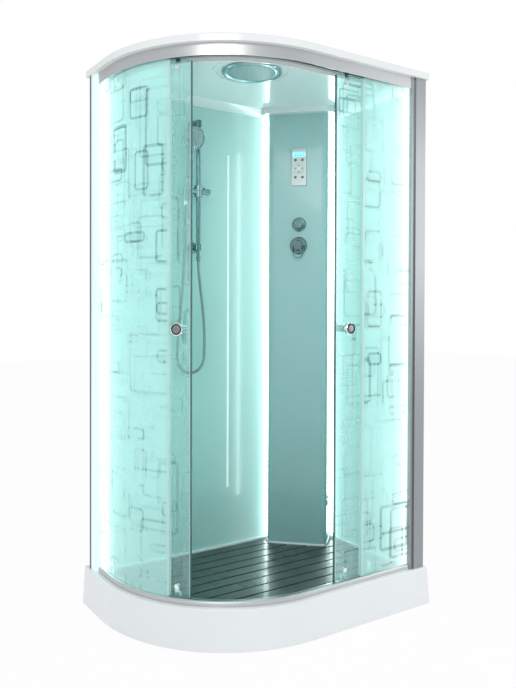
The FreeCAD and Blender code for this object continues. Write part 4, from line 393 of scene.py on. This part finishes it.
def wet_slats():
    """Dark composite slats: long grain, damp patches that shine, a slightly different tone for each board."""
    f = Finish("slats")
    at, _, y, _ = f.place()
    grain = f.noise(f.stretch(at, (5.0, 160.0, 160.0)), 1.0, 5.0, 0.65)
    patch = f.noise(at, 5.0, 3.0)
    row = ((y + 0.5) / SLAT_PITCH).floor()
    board = f.node("ShaderNodeTexWhiteNoise", {"noise_dimensions": "1D"}, W=row)[0]
    shade = f.mix(grain, rgb((0.018, 0.030, 0.028)), rgb((0.046, 0.066, 0.062)))
    shade = f.mix(0.25 * board, shade, rgb((0.065, 0.09, 0.085)))
    rough = 0.20 + 0.22 * patch.ramp(0.35, 0.65) + 0.12 * grain
    return f.done(f.principled(Base_Color=shade, Roughness=rough, Normal=f.bump(grain, 0.25, 0.0008),
                               Coat_Weight=0.3, Coat_Roughness=0.12))


def rounded_frames(f, across, up, cell, seed, size, line):
    """Outlines of rounded rectangles, one in each cell of a grid.

    The distance to a rounded box is the length of the part of the point outside its inner box, less
    the corner's radius. The outline is where that distance is near zero.
    """
    column = (across / cell[0]).floor()
    shifted = up / cell[1] + 0.37 * column
    row = shifted.floor()
    chance = f.node("ShaderNodeTexWhiteNoise", {"noise_dimensions": "3D"},
                    Vector=f.vector(column, row, seed))
    r1, r2, r3 = f.node("ShaderNodeSeparateColor", None, chance[1])[:3]
    du = abs(across - (column + 0.5) * cell[0] - (r1 - 0.5) * (cell[0] * 0.3))
    dv = abs((shifted - row - 0.5) * cell[1] - (r2 - 0.5) * (cell[1] * 0.25))
    qu = du - (size[0] * (0.55 + 0.45 * r2) - FRAME_CORNER)
    qv = dv - (size[1] * (0.45 + 0.55 * r1) - FRAME_CORNER)
    outside = (qu.high(0.0) ** 2.0 + qv.high(0.0) ** 2.0) ** 0.5
    distance = abs(outside + qu.high(qv).low(0.0) - FRAME_CORNER)
    width = line * (0.7 + 0.9 * r3)
    mask = 1.0 - ((distance - width) / FRAME_EDGE).ramp(0.0, 1.0)
    return mask * (0.42 + 0.58 * r3)


def printed_glass(name, curved, seed, middle, veil, shine, strip_glow_gain):
    """Tinted safety glass: a frosted film and a print of overlapping rounded frames on its outer face. Its
    emission is painted light from the cabin's lamps: an even glow set by shine and a stronger glow near the
    strips set by the last argument, both fainter under the ink.

    On the curved side the print runs along the arc: the polar angle times the radius. middle is the
    radius, or y, of the glass's middle, so that only the outer face carries the film.
    """
    f = Finish(name)
    at, x, y, z = f.place()
    if curved:
        dx, dy = ARC_CENTRE[0] - x, ARC_CENTRE[1] - y
        across = f.math("ARCTAN2", dy, dx) * FIXED_GLASS_R + 2.0
        outer = ((dx ** 2.0 + dy ** 2.0) ** 0.5).above(middle)
    else:
        across = x + 2.0
        outer = 1.0 - y.above(middle)
    layers = [rounded_frames(f, across + shift, z + 3.0 + rise, cell, seed + shift * 90.0, size, line)
              for shift, rise, cell, size, line in FRAME_LAYERS]
    single, double = layers[0], 0.0
    for layer in layers[1:]:
        double = (single * layer).high(double)
        single = single.high(layer)
    worn = f.noise(at, 7.0, 3.0).ramp(0.32, 0.46)
    faded = f.noise(at, 2.4, 1.0).ramp(0.36, 0.60)
    ink = (single * worn * (0.36 + 0.44 * faded) + double * 0.45).low(1.0)
    film = f.noise(f.stretch(at, (3.0, 3.0, 1.2)), 1.0, 2.0)
    colour = f.mix(ink, rgb((0.60, 0.93, 0.90)), rgb((0.12, 0.29, 0.29)))
    cover = ((veil + 0.06 * film + 0.46 * ink) * outer).low(1.0)
    through = f.node("ShaderNodeBsdfTransparent", None, Color=rgb((0.90, 0.99, 0.98)))[0]
    # painted light: the film glows evenly and more near the strips, as emission
    spill = f.glow(x, y, 0.045, 0.09)
    clear = 1.0 - 0.85 * ink
    tone = f.node("ShaderNodeVectorMath", {"operation": "ADD"}, f.tint((0.62, 1.0, 0.97), clear * shine),
                  f.tint((1.0, 0.95, 0.95), clear * spill * strip_glow_gain))[0]
    surface = f.principled(Base_Color=colour, Roughness=0.10 + 0.08 * film, Specular_IOR_Level=0.6,
                           Emission_Color=tone, Emission_Strength=1.0)
    return f.done(f.blend(cover, through, surface))


def clear_seal(name, dark_from, dark_to, curved):
    """Clear soft profile, bright along its ribs, with a dark magnetic core in the leading edge.

    The core lies between two polar angles on the curved door, or two x on the flat one.
    """
    f = Finish(name)
    at, x, y, _ = f.place()
    ribs = f.noise(f.stretch(at, (900.0, 900.0, 4.0)), 1.0, 2.0)
    if curved:
        along = f.math("ARCTAN2", ARC_CENTRE[1] - y, ARC_CENTRE[0] - x)
    else:
        along = x
    core = along.above(dark_from) * (1.0 - along.above(dark_to))
    shade = f.mix(ribs.ramp(0.35, 0.65), rgb((0.78, 0.96, 0.94)), rgb((0.56, 0.78, 0.76)))
    shade = f.mix(core, shade, rgb((0.05, 0.13, 0.13)))
    through = f.node("ShaderNodeBsdfTransparent", None, Color=rgb((0.85, 0.97, 0.95)))[0]
    body = f.principled(Base_Color=shade, Roughness=0.18 + 0.1 * ribs, Specular_IOR_Level=0.7)
    return f.done(f.blend((0.55 + 0.15 * ribs + 0.4 * core).low(1.0), through, body))


def lit_cover(name, colour, strength):
    """Opal cover over a row of lamps: a little brighter over each lamp."""
    f = Finish(name)
    _, x, _, z = f.place()
    pitch = 0.02
    lamp = abs((z / pitch) - (z / pitch).floor() - 0.5) * 2.0
    tone = f.mix(0.3 * lamp, rgb(colour), WHITE)
    bar = 1.0 - abs(x - BAR_X).above(BAR_HALF)
    tone = f.mix(bar * 0.975, tone, rgb((0.0, 0.0, 0.0)))
    return f.done(f.principled(Base_Color=rgb((0.78, 0.93, 0.91)), Roughness=0.4 + 0.1 * lamp,
                               Emission_Color=tone, Emission_Strength=strength))


def lit_display():
    """Backlit display: brighter in the middle, with a faint pixel mesh."""
    f = Finish("display")
    z = f.place()[3]
    pixel = 0.0008
    mesh = abs((z / pixel) - (z / pixel).floor() - 0.5).ramp(0.36, 0.46)
    level = 1.0 - abs(z - DISPLAY_Z) * 28.0
    tone = f.mix(level.high(0.0), rgb((0.02, 0.35, 0.72)), rgb((0.25, 0.88, 1.0)))
    tone = f.mix(mesh * 0.35, tone, rgb((0.02, 0.25, 0.45)))
    return f.done(f.principled(Base_Color=rgb((0.02, 0.06, 0.08)), Roughness=0.12, Emission_Color=tone,
                               Emission_Strength=1.3))


def ribbed_hose():
    """Wound steel hose, darkened and tinted teal as painted shade and painted reflection of the cabin's
    inside, with random marks; the winding itself is in the mesh.
    """
    f = Finish("hose")
    at = f.place()[0]
    marks = f.noise(at, 260.0, 3.0)
    shade = f.mix(marks, rgb((0.13, 0.19, 0.20)), rgb((0.34, 0.43, 0.44)))
    return f.done(f.principled(Base_Color=shade, Metallic=1.0, Roughness=0.30 + 0.18 * marks))


def spray_face():
    """Grey nozzle plate of the sprays, slightly chalky."""
    f = Finish("spray_face")
    at = f.place()[0]
    chalk = f.noise(at, 90.0, 4.0, 0.7)
    shade = f.mix(chalk.ramp(0.45, 0.75), rgb((0.30, 0.40, 0.42)), rgb((0.52, 0.60, 0.61)))
    return f.done(f.principled(Base_Color=shade, Metallic=0.25, Roughness=0.32 + 0.2 * chalk))


# ---- mesh helpers: surfaces are whole numpy arrays ----

def make_object(name, points, faces, material, smooth=True):
    """New object in the scene; faces is an array of quads or a list of polygons."""
    if isinstance(faces, np.ndarray):
        faces = faces.tolist()
    mesh = bpy.data.meshes.new(name)
    mesh.from_pydata(np.asarray(points, float).reshape(-1, 3).tolist(), [], faces)
    mesh.validate()
    if smooth:
        mesh.polygons.foreach_set("use_smooth", np.ones(len(mesh.polygons), dtype=bool))
    mesh.update()
    piece = bpy.data.objects.new(name, mesh)
    bpy.context.scene.collection.objects.link(piece)
    mesh.materials.append(material)
    return piece


def close_ends(piece):
    """Fills open ends, where there are any, and turns every face outwards."""
    work = bmesh.new()
    work.from_mesh(piece.data)
    edges = [e for e in work.edges if e.is_boundary]
    if edges:
        bmesh.ops.holes_fill(work, edges=edges, sides=0)
    bmesh.ops.recalc_face_normals(work, faces=work.faces[:])
    work.to_mesh(piece.data)
    work.free()


def grid_faces(rows, columns, wrap_rows, wrap_columns):
    """Quads between neighbouring points of a rows by columns grid, closed round where asked."""
    i = np.arange(rows if wrap_rows else rows - 1)
    j = np.arange(columns if wrap_columns else columns - 1)
    a, b = np.meshgrid(i, j, indexing="ij")
    right = (b + 1) % columns
    below = (a + 1) % rows
    return np.stack([a * columns + b, a * columns + right, below * columns + right, below * columns + b],
                    axis=-1).reshape(-1, 4)


def turned(profile, steps):
    """Surface of revolution about +Z: the point (r, h) goes to (r cos t, r sin t, h)."""
    profile = np.asarray(profile, float)
    t = np.linspace(0, 2 * np.pi, steps, endpoint=False)
    r = profile[:, 0][:, None]
    h = np.repeat(profile[:, 1][:, None], steps, axis=1)
    points = np.stack([r * np.cos(t), r * np.sin(t), h], axis=-1)
    return points.reshape(-1, 3), grid_faces(len(profile), steps, False, True)


def axes_to(direction, upward=(0.0, 0.0, 1.0)):
    """Rows are the side, up and out directions of a piece that faces direction."""
    out = np.asarray(direction, float)
    out = out / np.linalg.norm(out)
    side = np.cross(upward, out)
    side = side / np.linalg.norm(side)
    return np.stack([side, np.cross(out, side), out])


def copies(points, faces, spots):
    """The same small shape at each spot: every spot is added to every point at once."""
    points = np.asarray(points)
    spots = np.asarray(spots)
    moved = spots[:, None, :] + points[None, :, :]
    shift = (np.arange(len(spots)) * len(points))[:, None, None]
    return moved.reshape(-1, 3), (np.asarray(faces)[None] + shift).reshape(-1, faces.shape[1])


def ring_spots(rings, pitch, first):
    """Rings of spots: ring k has radius k times pitch and k times first spots."""
    found = [np.zeros((1, 3))]
    for k in range(1, rings + 1):
        t = np.linspace(0, 2 * np.pi, first * k, endpoint=False) + 0.3 * k
        found.append(np.stack([k * pitch * np.cos(t), k * pitch * np.sin(t), 0 * t], axis=-1))
    return np.concatenate(found)


def on_column(u, depth, z):
    """Point at u along the column's face and depth behind it."""
    s = math.sqrt(0.5)
    return np.array([FACE_CENTRE[0] + (u + depth) * s, FACE_CENTRE[1] + (depth - u) * s, z])


def in_handle(points):
    """Leans points drawn upright about the holder's centre to the hand shower's angle."""
    c, s = math.cos(HANDLE_LEAN), math.sin(HANDLE_LEAN)
    points = np.asarray(points)
    y = points[..., 1] * c - points[..., 2] * s
    z = points[..., 1] * s + points[..., 2] * c
    return np.stack([points[..., 0], y, z], axis=-1) + np.array(HOLDER)


# ---- what a user would change ----

class ShowerFittings(bpy.types.PropertyGroup):
    hose_diameter: FloatProperty(name="Hose diameter", description="Outside diameter of the wound hose",
                                 default=0.012, min=0.006, max=0.020, unit="LENGTH")
    hose_rib: FloatProperty(name="Hose rib", description="Length of one turn of the hose's winding",
                            default=0.0042, min=0.002, max=0.010, unit="LENGTH")
    rain_rings: IntProperty(name="Rain head rings", description="Rings of nozzles in the rain head",
                            default=7, min=2, max=12)
    spray_rings: IntProperty(name="Hand shower rings", description="Rings of nozzles in the hand shower",
                             default=4, min=2, max=8)
    knob_colour: FloatVectorProperty(name="Knob face", description="Colour of the knobs' satin faces",
                                     default=(0.30, 0.275, 0.285), subtype="COLOR", min=0, max=1)
    light_colour: FloatVectorProperty(name="Strip light", description="Colour of the strip lights",
                                      default=(0.86, 1.0, 0.98), subtype="COLOR", min=0, max=1)
    light_strength: FloatProperty(name="Strip strength", description="Brightness of the strip lights",
                                  default=9.0, min=0, max=50)


class ShowerStudio(bpy.types.PropertyGroup):
    key_power: FloatProperty(name="Key light", description="Power of the large light at the front left",
                             default=60.0, min=0, unit="POWER")
    fill_power: FloatProperty(name="Fill light", description="Power of the light at the right",
                              default=25.0, min=0, unit="POWER")
    room_level: FloatProperty(name="Room level", description="Strength of the light from all round",
                              default=0.78, min=0, max=5)


# ---- operators: one for each piece or group of like pieces ----

class SHOWER_OT_finishes(bpy.types.Operator):
    """Give every CAD node its finish"""
    bl_idname = "shower.finishes"
    bl_label = "Finishes"

    def execute(self, context):
        fittings = context.scene.shower_fittings
        light = tuple(fittings.light_colour)
        bright = chrome("chrome", (0.80, 0.83, 0.84), 0.05)
        rails = drawn_metal("rails", (0.62, 0.63, 0.64), 0.24, (4.0, 4.0, 900.0))
        profiles = drawn_metal("profiles", (0.36, 0.38, 0.39), 0.30, (900.0, 900.0, 3.0))
        # painted shade and painted reflection: the chrome inside the cabin comes in darker copies tinted
        # teal, for the shade and the teal walls it stands among
        shade_painted_chrome = chrome("shade_painted_chrome", (0.17, 0.27, 0.28), 0.12)
        shaded_chrome = chrome("shaded_chrome", (0.30, 0.41, 0.42), 0.20)
        nylon = moulded("nylon", (0.80, 0.82, 0.82), 0.35)
        rubber = moulded("rubber", (0.03, 0.03, 0.03), 0.55)
        keys = moulded("keys", (0.07, 0.10, 0.10), 0.35, 400.0)
        grey = moulded("grey_plastic", (0.52, 0.54, 0.55), 0.45)
        finishes = {
            "tray_acrylic": acrylic("tray", (0.84, 0.86, 0.87), 0.12),
            "roof_white": acrylic("roof", (0.84, 0.86, 0.86), 0.10),
            "frame_steel": moulded("frame_paint", (0.20, 0.21, 0.22), 0.40, 60.0),
            "foot_rubber": rubber,
            "stop_rubber": rubber,
            "waste_plastic": grey,
            "box_grey": grey,
            "boiler_case": grey,
            "pipe_grey": moulded("pipes", (0.60, 0.62, 0.63), 0.40),
            "bright_chrome": bright,
            "floor_slats": wet_slats(),
            "rail_metal": rails,
            "seal_plastic": clear_seal("seals", math.radians(LEFT_CORE[0]), math.radians(LEFT_CORE[1]), True),
            "wheel_nylon": nylon,
            # the low and high colours of the walls and the column are painted shade, darker near the floor;
            # glow is the strength of their painted light from the strips
            "wall_gloss": wall_gloss("walls", (0.34, 0.60, 0.57), (0.43, 0.70, 0.67), rough=0.10,
                                     waviness=0.05, glow=1.2),
            "column_gloss": wall_gloss("column", (0.20, 0.38, 0.38), (0.34, 0.53, 0.53), rough=0.30,
                                       waviness=0.02, glow=0.05),
            "light_opal": lit_cover("strip_lights", light, fittings.light_strength),
            "panel_silver": drawn_metal("panel", (0.52, 0.57, 0.56), 0.34, (500.0, 500.0, 8.0)),
            "display_cyan": lit_display(),
            "button_dark": keys,
            "brass_body": chrome("brass", (0.62, 0.44, 0.20), 0.28),
            "hose_silver": ribbed_hose(),
        }
        special = {
            # on the glass, shine and the strip glow level are painted light, as emission
            "left_fixed_glass": printed_glass("fixed_glass_curved", curved=True, seed=1.0,
                                              middle=FIXED_GLASS_R - GLASS_HALF, veil=0.40, shine=0.30,
                                              strip_glow_gain=2.2),
            "left_door_glass": printed_glass("door_glass_curved", curved=True, seed=5.0,
                                             middle=DOOR_GLASS_R - GLASS_HALF, veil=0.16, shine=0.07,
                                             strip_glow_gain=1.0),
            "right_fixed_glass": printed_glass("fixed_glass_flat", curved=False, seed=2.0,
                                               middle=FIXED_GLASS_Y + GLASS_HALF, veil=0.36, shine=0.20,
                                               strip_glow_gain=4.2),
            "right_door_glass": printed_glass("door_glass_flat", curved=False, seed=9.0,
                                              middle=DOOR_GLASS_Y + GLASS_HALF, veil=0.24, shine=0.30,
                                              strip_glow_gain=1.0),
            "left_wall_profile": lit_post(),
            "right_wall_profile": profiles,
            "right_door_seals": clear_seal("seals_flat", *RIGHT_CORE, False),
            "valve_plates": shade_painted_chrome,
            "diverter_knob": shade_painted_chrome,
            "mixer_cap": shade_painted_chrome,
            "mixer_lever": shade_painted_chrome,
            "riser_rail": shade_painted_chrome,
            "rail_slider": shaded_chrome,
            "handset_holder": shaded_chrome,
            "riser_brackets": shade_painted_chrome,
            "hand_shower": shaded_chrome,
            "rain_head": shaded_chrome,
            "arrow_pad": drawn_metal("pad", (0.55, 0.60, 0.58), 0.36, (500.0, 500.0, 8.0)),
        }
        for part in frame["record"]["subparts"]:
            name = part["node"]
            material = special.get(name) or finishes.get(part["material_slot"])
            if material is None:
                raise RuntimeError("no finish for " + name)
            for slot in frame["nodes"][name].material_slots:
                slot.material = material
        return {"FINISHED"}


class SHOWER_OT_hose(bpy.types.Operator):
    """Wound hose from the wall outlet to the hand shower"""
    bl_idname = "shower.hose"
    bl_label = "Hose"

    def execute(self, context):
        fittings = context.scene.shower_fittings
        line = hose_line(context)
        low = int(np.argmin(line[:, 2]))
        cut = np.nonzero(line[:, 2] < HOSE_JOIN_Z)[0][-1]
        x, y, top = HOSE_ROUTE[0]
        bottom = line[low, 2]
        # the hose is cut into three pieces, at the loop's lowest point and at the join height; each is listed
        # with two bodies and two points
        parts = (("hose_fall", line[:low + 1], ("cabin", "slider"), (x, y, top), (x, y, 2 * bottom - top)),
                 ("hose_rise", line[low:cut + 1], ("cabin", "slider"), (x, y, 2 * bottom - HOSE_JOIN_Z),
                  (x, y, HOSE_JOIN_Z)),
                 ("hose_end", line[cut:], ("slider", "holder"), HOSE_HANGS, HOSE_TILTS))
        for name, part, bodies, start, end in parts:
            piece, path, length = wound_tube(name, part, fittings.hose_diameter / 2, fittings.hose_rib,
                                             frame["nodes"]["shower_hose"])
            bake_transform(piece)
            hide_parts("shower_hose")
        return {"FINISHED"}


def hose_line(context):
    """Points along the smooth curve through the hose's route."""
    curve = bpy.data.curves.new("hose_line", "CURVE")
    curve.dimensions = "3D"
    curve.resolution_u = 24
    spline = curve.splines.new("NURBS")
    spline.points.add(len(HOSE_ROUTE) - 1)
    route = np.concatenate([np.array(HOSE_ROUTE), np.ones((len(HOSE_ROUTE), 1))], axis=1)
    spline.points.foreach_set("co", route.ravel())
    spline.order_u = 3
    spline.use_endpoint_u = True
    drawn = bpy.data.objects.new("hose_line", curve)
    context.scene.collection.objects.link(drawn)
    context.view_layer.update()
    line_mesh = bpy.data.meshes.new_from_object(drawn.evaluated_get(context.evaluated_depsgraph_get()))
    line = np.empty(len(line_mesh.vertices) * 3)
    line_mesh.vertices.foreach_get("co", line)
    bpy.data.objects.remove(drawn)
    bpy.data.meshes.remove(line_mesh)
    return line.reshape(-1, 3)


def wound_tube(name, line, radius, rib, node):
    """Tube along a line with rounded ribs.

    At arc length s the ring's centre is the line's point there, and its radius is radius * (1 - RIB_DEPTH
    + RIB_DEPTH * |cos(pi s / rib)|). The ring lies in the plane across the tangent.
    """
    run = np.linalg.norm(np.diff(line, axis=0), axis=1)
    along = np.concatenate([[0.0], np.cumsum(run)])
    keep = np.concatenate([[True], run > 1e-7])
    line, along = line[keep], along[keep]
    length = along[-1]
    rings = int(length / rib * RINGS_PER_RIB)
    s = np.linspace(0, length, rings)
    centre = np.stack([np.interp(s, along, line[:, k]) for k in range(3)], axis=-1)
    tangent = np.gradient(centre, axis=0)
    tangent /= np.linalg.norm(tangent, axis=1)[:, None]
    side = np.cross(tangent, np.array([0.0, 1.0, 0.0]))
    side /= np.linalg.norm(side, axis=1)[:, None]
    other = np.cross(tangent, side)
    t = np.linspace(0, 2 * np.pi, HOSE_SIDES, endpoint=False)
    r = radius * (1.0 - RIB_DEPTH + RIB_DEPTH * np.abs(np.cos(np.pi * s / rib)))
    r[[0, -1]] = radius * HOSE_TIP
    points = (centre[:, None, :] + r[:, None, None] * (np.cos(t)[None, :, None] * side[:, None, :]
              + np.sin(t)[None, :, None] * other[:, None, :]))
    faces = grid_faces(rings, HOSE_SIDES, False, True)
    piece = make_object(name, points, faces, node.material_slots[0].material)
    close_ends(piece)
    return piece, centre[::RINGS_PER_RIB].tolist() + [centre[-1].tolist()], float(length)


class SHOWER_OT_rain_face(bpy.types.Operator):
    """Nozzles and face plate of the overhead rain head"""
    bl_idname = "shower.rain_face"
    bl_label = "Rain head face"

    def execute(self, context):
        fittings = context.scene.shower_fittings
        plate = spray_face()
        nozzle, sides = turned(NOZZLE, NOZZLE_SIDES)
        for name, (points, faces) in (
                ("rain_nozzles", copies(nozzle, sides, ring_spots(fittings.rain_rings, RAIN_PITCH, 6))),
                ("rain_plate", turned(RAIN_PLATE, 96))):
            points = points * np.array(DOWNWARD) + np.array([*RAIN_CENTRE, RAIN_FACE_Z])
            piece = make_object(name, points, faces, plate)
            close_ends(piece)
            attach(piece, "cabin")
        return {"FINISHED"}


class SHOWER_OT_spray_face(bpy.types.Operator):
    """Nozzle plate of the hand shower"""
    bl_idname = "shower.spray_face"
    bl_label = "Hand shower face"

    def execute(self, context):
        fittings = context.scene.shower_fittings
        plate = bpy.data.materials.get("spray_face") or spray_face()
        out = np.array([0.0, -math.cos(HEAD_TILT), -math.sin(HEAD_TILT)])
        base = np.array(HEAD_AT) + out * HEAD_DEPTH
        nozzle, sides = turned(NOZZLE, NOZZLE_SIDES)
        nozzles, sides = copies(nozzle, sides, ring_spots(fittings.spray_rings, HEAD_PITCH, 6))
        for name, (points, faces) in (("hand_nozzles", (nozzles * HEAD_SCALE, sides)),
                                      ("hand_plate", turned(HEAD_PLATE, 64))):
            piece = make_object(name, in_handle(points @ axes_to(out) + base), faces, plate)
            close_ends(piece)
            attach(piece, "handset")
        return {"FINISHED"}


class SHOWER_OT_knob_faces(bpy.types.Operator):
    """Domed satin faces on the two door knobs"""
    bl_idname = "shower.knob_faces"
    bl_label = "Knob faces"

    def execute(self, context):
        fittings = context.scene.shower_fittings
        satin = drawn_metal("knob_face", tuple(fittings.knob_colour), 0.22, (300.0, 300.0, 300.0))
        dark = chrome("knob_ring", (0.02, 0.03, 0.03), 0.25)
        a = math.radians(LEFT_KNOB_DEG)
        left_out = np.array([-math.cos(a), -math.sin(a), 0.0])
        left = np.array([*ARC_CENTRE, KNOB_Z]) + left_out * (DOOR_GLASS_R + KNOB_OUT)
        right_out = np.array([0.0, -1.0, 0.0])
        right = np.array([RIGHT_KNOB_X, DOOR_GLASS_Y, KNOB_Z]) + right_out * KNOB_OUT
        for name, spot, out, body in (("left_knob_face", left, left_out, "left_door"),
                                      ("right_knob_face", right, right_out, "right_door")):
            for suffix, profile, finish in (("", KNOB_DOME, satin), ("_ring", KNOB_RING, dark)):
                points, faces = turned(profile, KNOB_SIDES)
                piece = make_object(name + suffix, points @ axes_to(out) + spot, faces, finish)
                close_ends(piece)
                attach(piece, body)
        return {"FINISHED"}


def flat_marks(name, outlines, depth, thick, material, body):
    """Thin raised shapes on the column's face from closed outlines in (u, z)."""
    points = []
    faces = []
    for outline in outlines:
        count = len(outline)
        start = len(points)
        for level in (depth, depth - thick):
            points += [on_column(u, level, z) for u, z in outline]
        faces.append([start + count + i for i in range(count)])
        faces.append([start + i for i in reversed(range(count))])
        for i in range(count):
            j = (i + 1) % count
            faces.append([start + i, start + j, start + count + j, start + count + i])
    piece = make_object(name, points, faces, material, smooth=False)
    close_ends(piece)
    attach(piece, body)


def bar(u, z, width, height):
    """Outline of an upright rectangle from its lower corner (u, z)."""
    return [(u, z), (u + width, z), (u + width, z + height), (u, z + height)]


class SHOWER_OT_panel_marks(bpy.types.Operator):
    """Plain marks on the display and the keys"""
    bl_idname = "shower.panel_marks"
    bl_label = "Panel marks"

    def execute(self, context):
        white = moulded("mark_white", (0.85, 0.88, 0.87), 0.4, 400.0)
        dark = moulded("mark_dark", (0.02, 0.10, 0.16), 0.3, 400.0)
        bars = [bar(BARS_FROM[0] + i * BAR_STEP, BARS_FROM[1], *BAR_SIZE) for i in range(BARS)]
        flat_marks("display_bars", bars, DISPLAY_FACE + 0.0001, 0.0002, dark, "cabin")
        arrows = []
        for turn in range(4):
            c, s = math.cos(turn * math.pi / 2), math.sin(turn * math.pi / 2)
            arrows.append([(ARROW_PAD[0] + a * c - b * s, ARROW_PAD[1] + a * s + b * c) for a, b in ARROW])
        middle = [(ARROW_PAD[0] + a, ARROW_PAD[1] + b) for a, b in DIAMOND]
        flat_marks("arrow_marks", arrows, KEY_FACE, 0.0003, dark, "arrow_pad_key")
        flat_marks("arrow_middle", [middle], KEY_FACE, 0.0003, white, "arrow_pad_key")
        for row, z in KEY_Z.items():
            for side, u in KEY_U.items():
                name = "button_" + row + "_" + side
                dash = bar(u - DASH[0] / 2, z - DASH[1] / 2, *DASH)
                flat_marks(name + "_mark", [dash], KEY_FACE, 0.0002, white, name + "_key")
        return {"FINISHED"}


class SHOWER_OT_stage(bpy.types.Operator):
    """Floor, light and camera"""
    bl_idname = "shower.stage"
    bl_label = "Stage"

    def execute(self, context):
        studio = context.scene.shower_studio
        scene = context.scene
        far = FLOOR_HALF
        mesh = bpy.data.meshes.new("floor")
        mesh.from_pydata([(-far, -far, 0), (far, -far, 0), (far, far, 0), (-far, far, 0)], [], [(0, 1, 2, 3)])
        floor = bpy.data.objects.new("floor", mesh)
        scene.collection.objects.link(floor)
        f = Finish("floor")
        tone = f.mix(f.noise(f.place()[0], 1.2, 2.0), rgb((0.90, 0.90, 0.90)), rgb((0.93, 0.93, 0.93)))
        lit = f.principled(Base_Color=tone, Roughness=0.6, Specular_IOR_Level=0.2)
        white = f.node("ShaderNodeEmission", None, Color=WHITE, Strength=1.0)[0]
        seen = f.node("ShaderNodeLightPath")
        mesh.materials.append(f.done(f.blend(0.93 * seen[0].high(seen[3]), lit, white)))

        world = bpy.data.worlds.new("studio")
        scene.world = world
        world.use_nodes = True
        nodes = world.node_tree.nodes
        links = world.node_tree.links
        nodes.clear()
        out = nodes.new("ShaderNodeOutputWorld")
        mixer = nodes.new("ShaderNodeMixShader")
        room = nodes.new("ShaderNodeBackground")
        room.inputs[0].default_value = rgb((0.97, 0.99, 1.0))
        room.inputs[1].default_value = studio.room_level
        back = nodes.new("ShaderNodeBackground")
        back.inputs[0].default_value = WHITE
        back.inputs[1].default_value = 1.0
        path = nodes.new("ShaderNodeLightPath")
        either = nodes.new("ShaderNodeMath")
        either.operation = "MAXIMUM"
        links.new(path.outputs["Is Camera Ray"], either.inputs[0])
        links.new(path.outputs["Is Transmission Ray"], either.inputs[1])
        links.new(either.outputs[0], mixer.inputs[0])
        links.new(room.outputs[0], mixer.inputs[1])
        links.new(back.outputs[0], mixer.inputs[2])
        links.new(mixer.outputs[0], out.inputs[0])

        self.lamp(scene, "key", *KEY_LAMP, studio.key_power)
        self.lamp(scene, "fill", *FILL_LAMP, studio.fill_power)
        self.camera(scene)
        scene.view_settings.view_transform = "Standard"
        return {"FINISHED"}

    def lamp(self, scene, name, spot, size, power):
        light = bpy.data.lights.new(name, "AREA")
        light.shape = "DISK"
        light.size = size
        light.energy = power
        lamp = bpy.data.objects.new(name, light)
        axes = axes_to(np.array(spot) - np.array(LAMP_TARGET))
        lamp.matrix_world = Matrix(np.vstack([np.column_stack([axes.T, spot]), [0, 0, 0, 1]]).tolist())
        scene.collection.objects.link(lamp)

    def camera(self, scene):
        c, s = math.cos(CAMERA_PITCH), math.sin(CAMERA_PITCH)
        ahead = np.array([math.cos(CAMERA_YAW) * c, math.sin(CAMERA_YAW) * c, s])
        right = np.array([math.sin(CAMERA_YAW), -math.cos(CAMERA_YAW), 0.0])
        down = np.cross(ahead, right)
        cr, sr = math.cos(CAMERA_ROLL), math.sin(CAMERA_ROLL)
        side = cr * right + sr * down
        below = -sr * right + cr * down
        data = bpy.data.cameras.new("camera")
        data.sensor_width = SENSOR_MM
        data.lens = FOCAL_PX * SENSOR_MM / FRAME_PX[1]
        data.shift_x = -(CENTRE_PX[0] - FRAME_PX[0] / 2) / FRAME_PX[1]
        data.shift_y = (CENTRE_PX[1] - FRAME_PX[1] / 2) / FRAME_PX[1]
        data.clip_end = 60.0
        camera = bpy.data.objects.new("camera", data)
        axes = np.column_stack([side, -below, -ahead, CAMERA_AT])
        camera.matrix_world = Matrix(np.vstack([axes, [0, 0, 0, 1]]).tolist())
        scene.collection.objects.link(camera)
        scene.camera = camera


class SHOWER_PT_panel(bpy.types.Panel):
    """Lists the shower's sizes, colours and steps"""
    bl_idname = "SHOWER_PT_panel"
    bl_label = "Steam shower"
    bl_space_type = "VIEW_3D"
    bl_region_type = "UI"
    bl_category = "Shower"

    def draw(self, context):
        layout = self.layout
        for group in (context.scene.shower_fittings, context.scene.shower_studio):
            for name in group.__annotations__:
                layout.prop(group, name)
        for operator in OPERATORS:
            layout.operator(operator.bl_idname)


OPERATORS = (SHOWER_OT_finishes, SHOWER_OT_hose, SHOWER_OT_rain_face, SHOWER_OT_spray_face,
             SHOWER_OT_knob_faces, SHOWER_OT_panel_marks, SHOWER_OT_stage)
CLASSES = (ShowerFittings, ShowerStudio) + OPERATORS + (SHOWER_PT_panel,)


def register():
    for item in CLASSES:
        bpy.utils.register_class(item)
    bpy.types.Scene.shower_fittings = PointerProperty(type=ShowerFittings)
    bpy.types.Scene.shower_studio = PointerProperty(type=ShowerStudio)


def unregister():
    del bpy.types.Scene.shower_studio
    del bpy.types.Scene.shower_fittings
    for item in reversed(CLASSES):
        bpy.utils.unregister_class(item)


def main():
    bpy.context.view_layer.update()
    register()
    bpy.ops.shower.finishes()
    bpy.ops.shower.hose()
    bpy.ops.shower.rain_face()
    bpy.ops.shower.spray_face()
    bpy.ops.shower.knob_faces()
    bpy.ops.shower.panel_marks()
    bpy.ops.shower.stage()


if __name__ == "__main__":
    main()
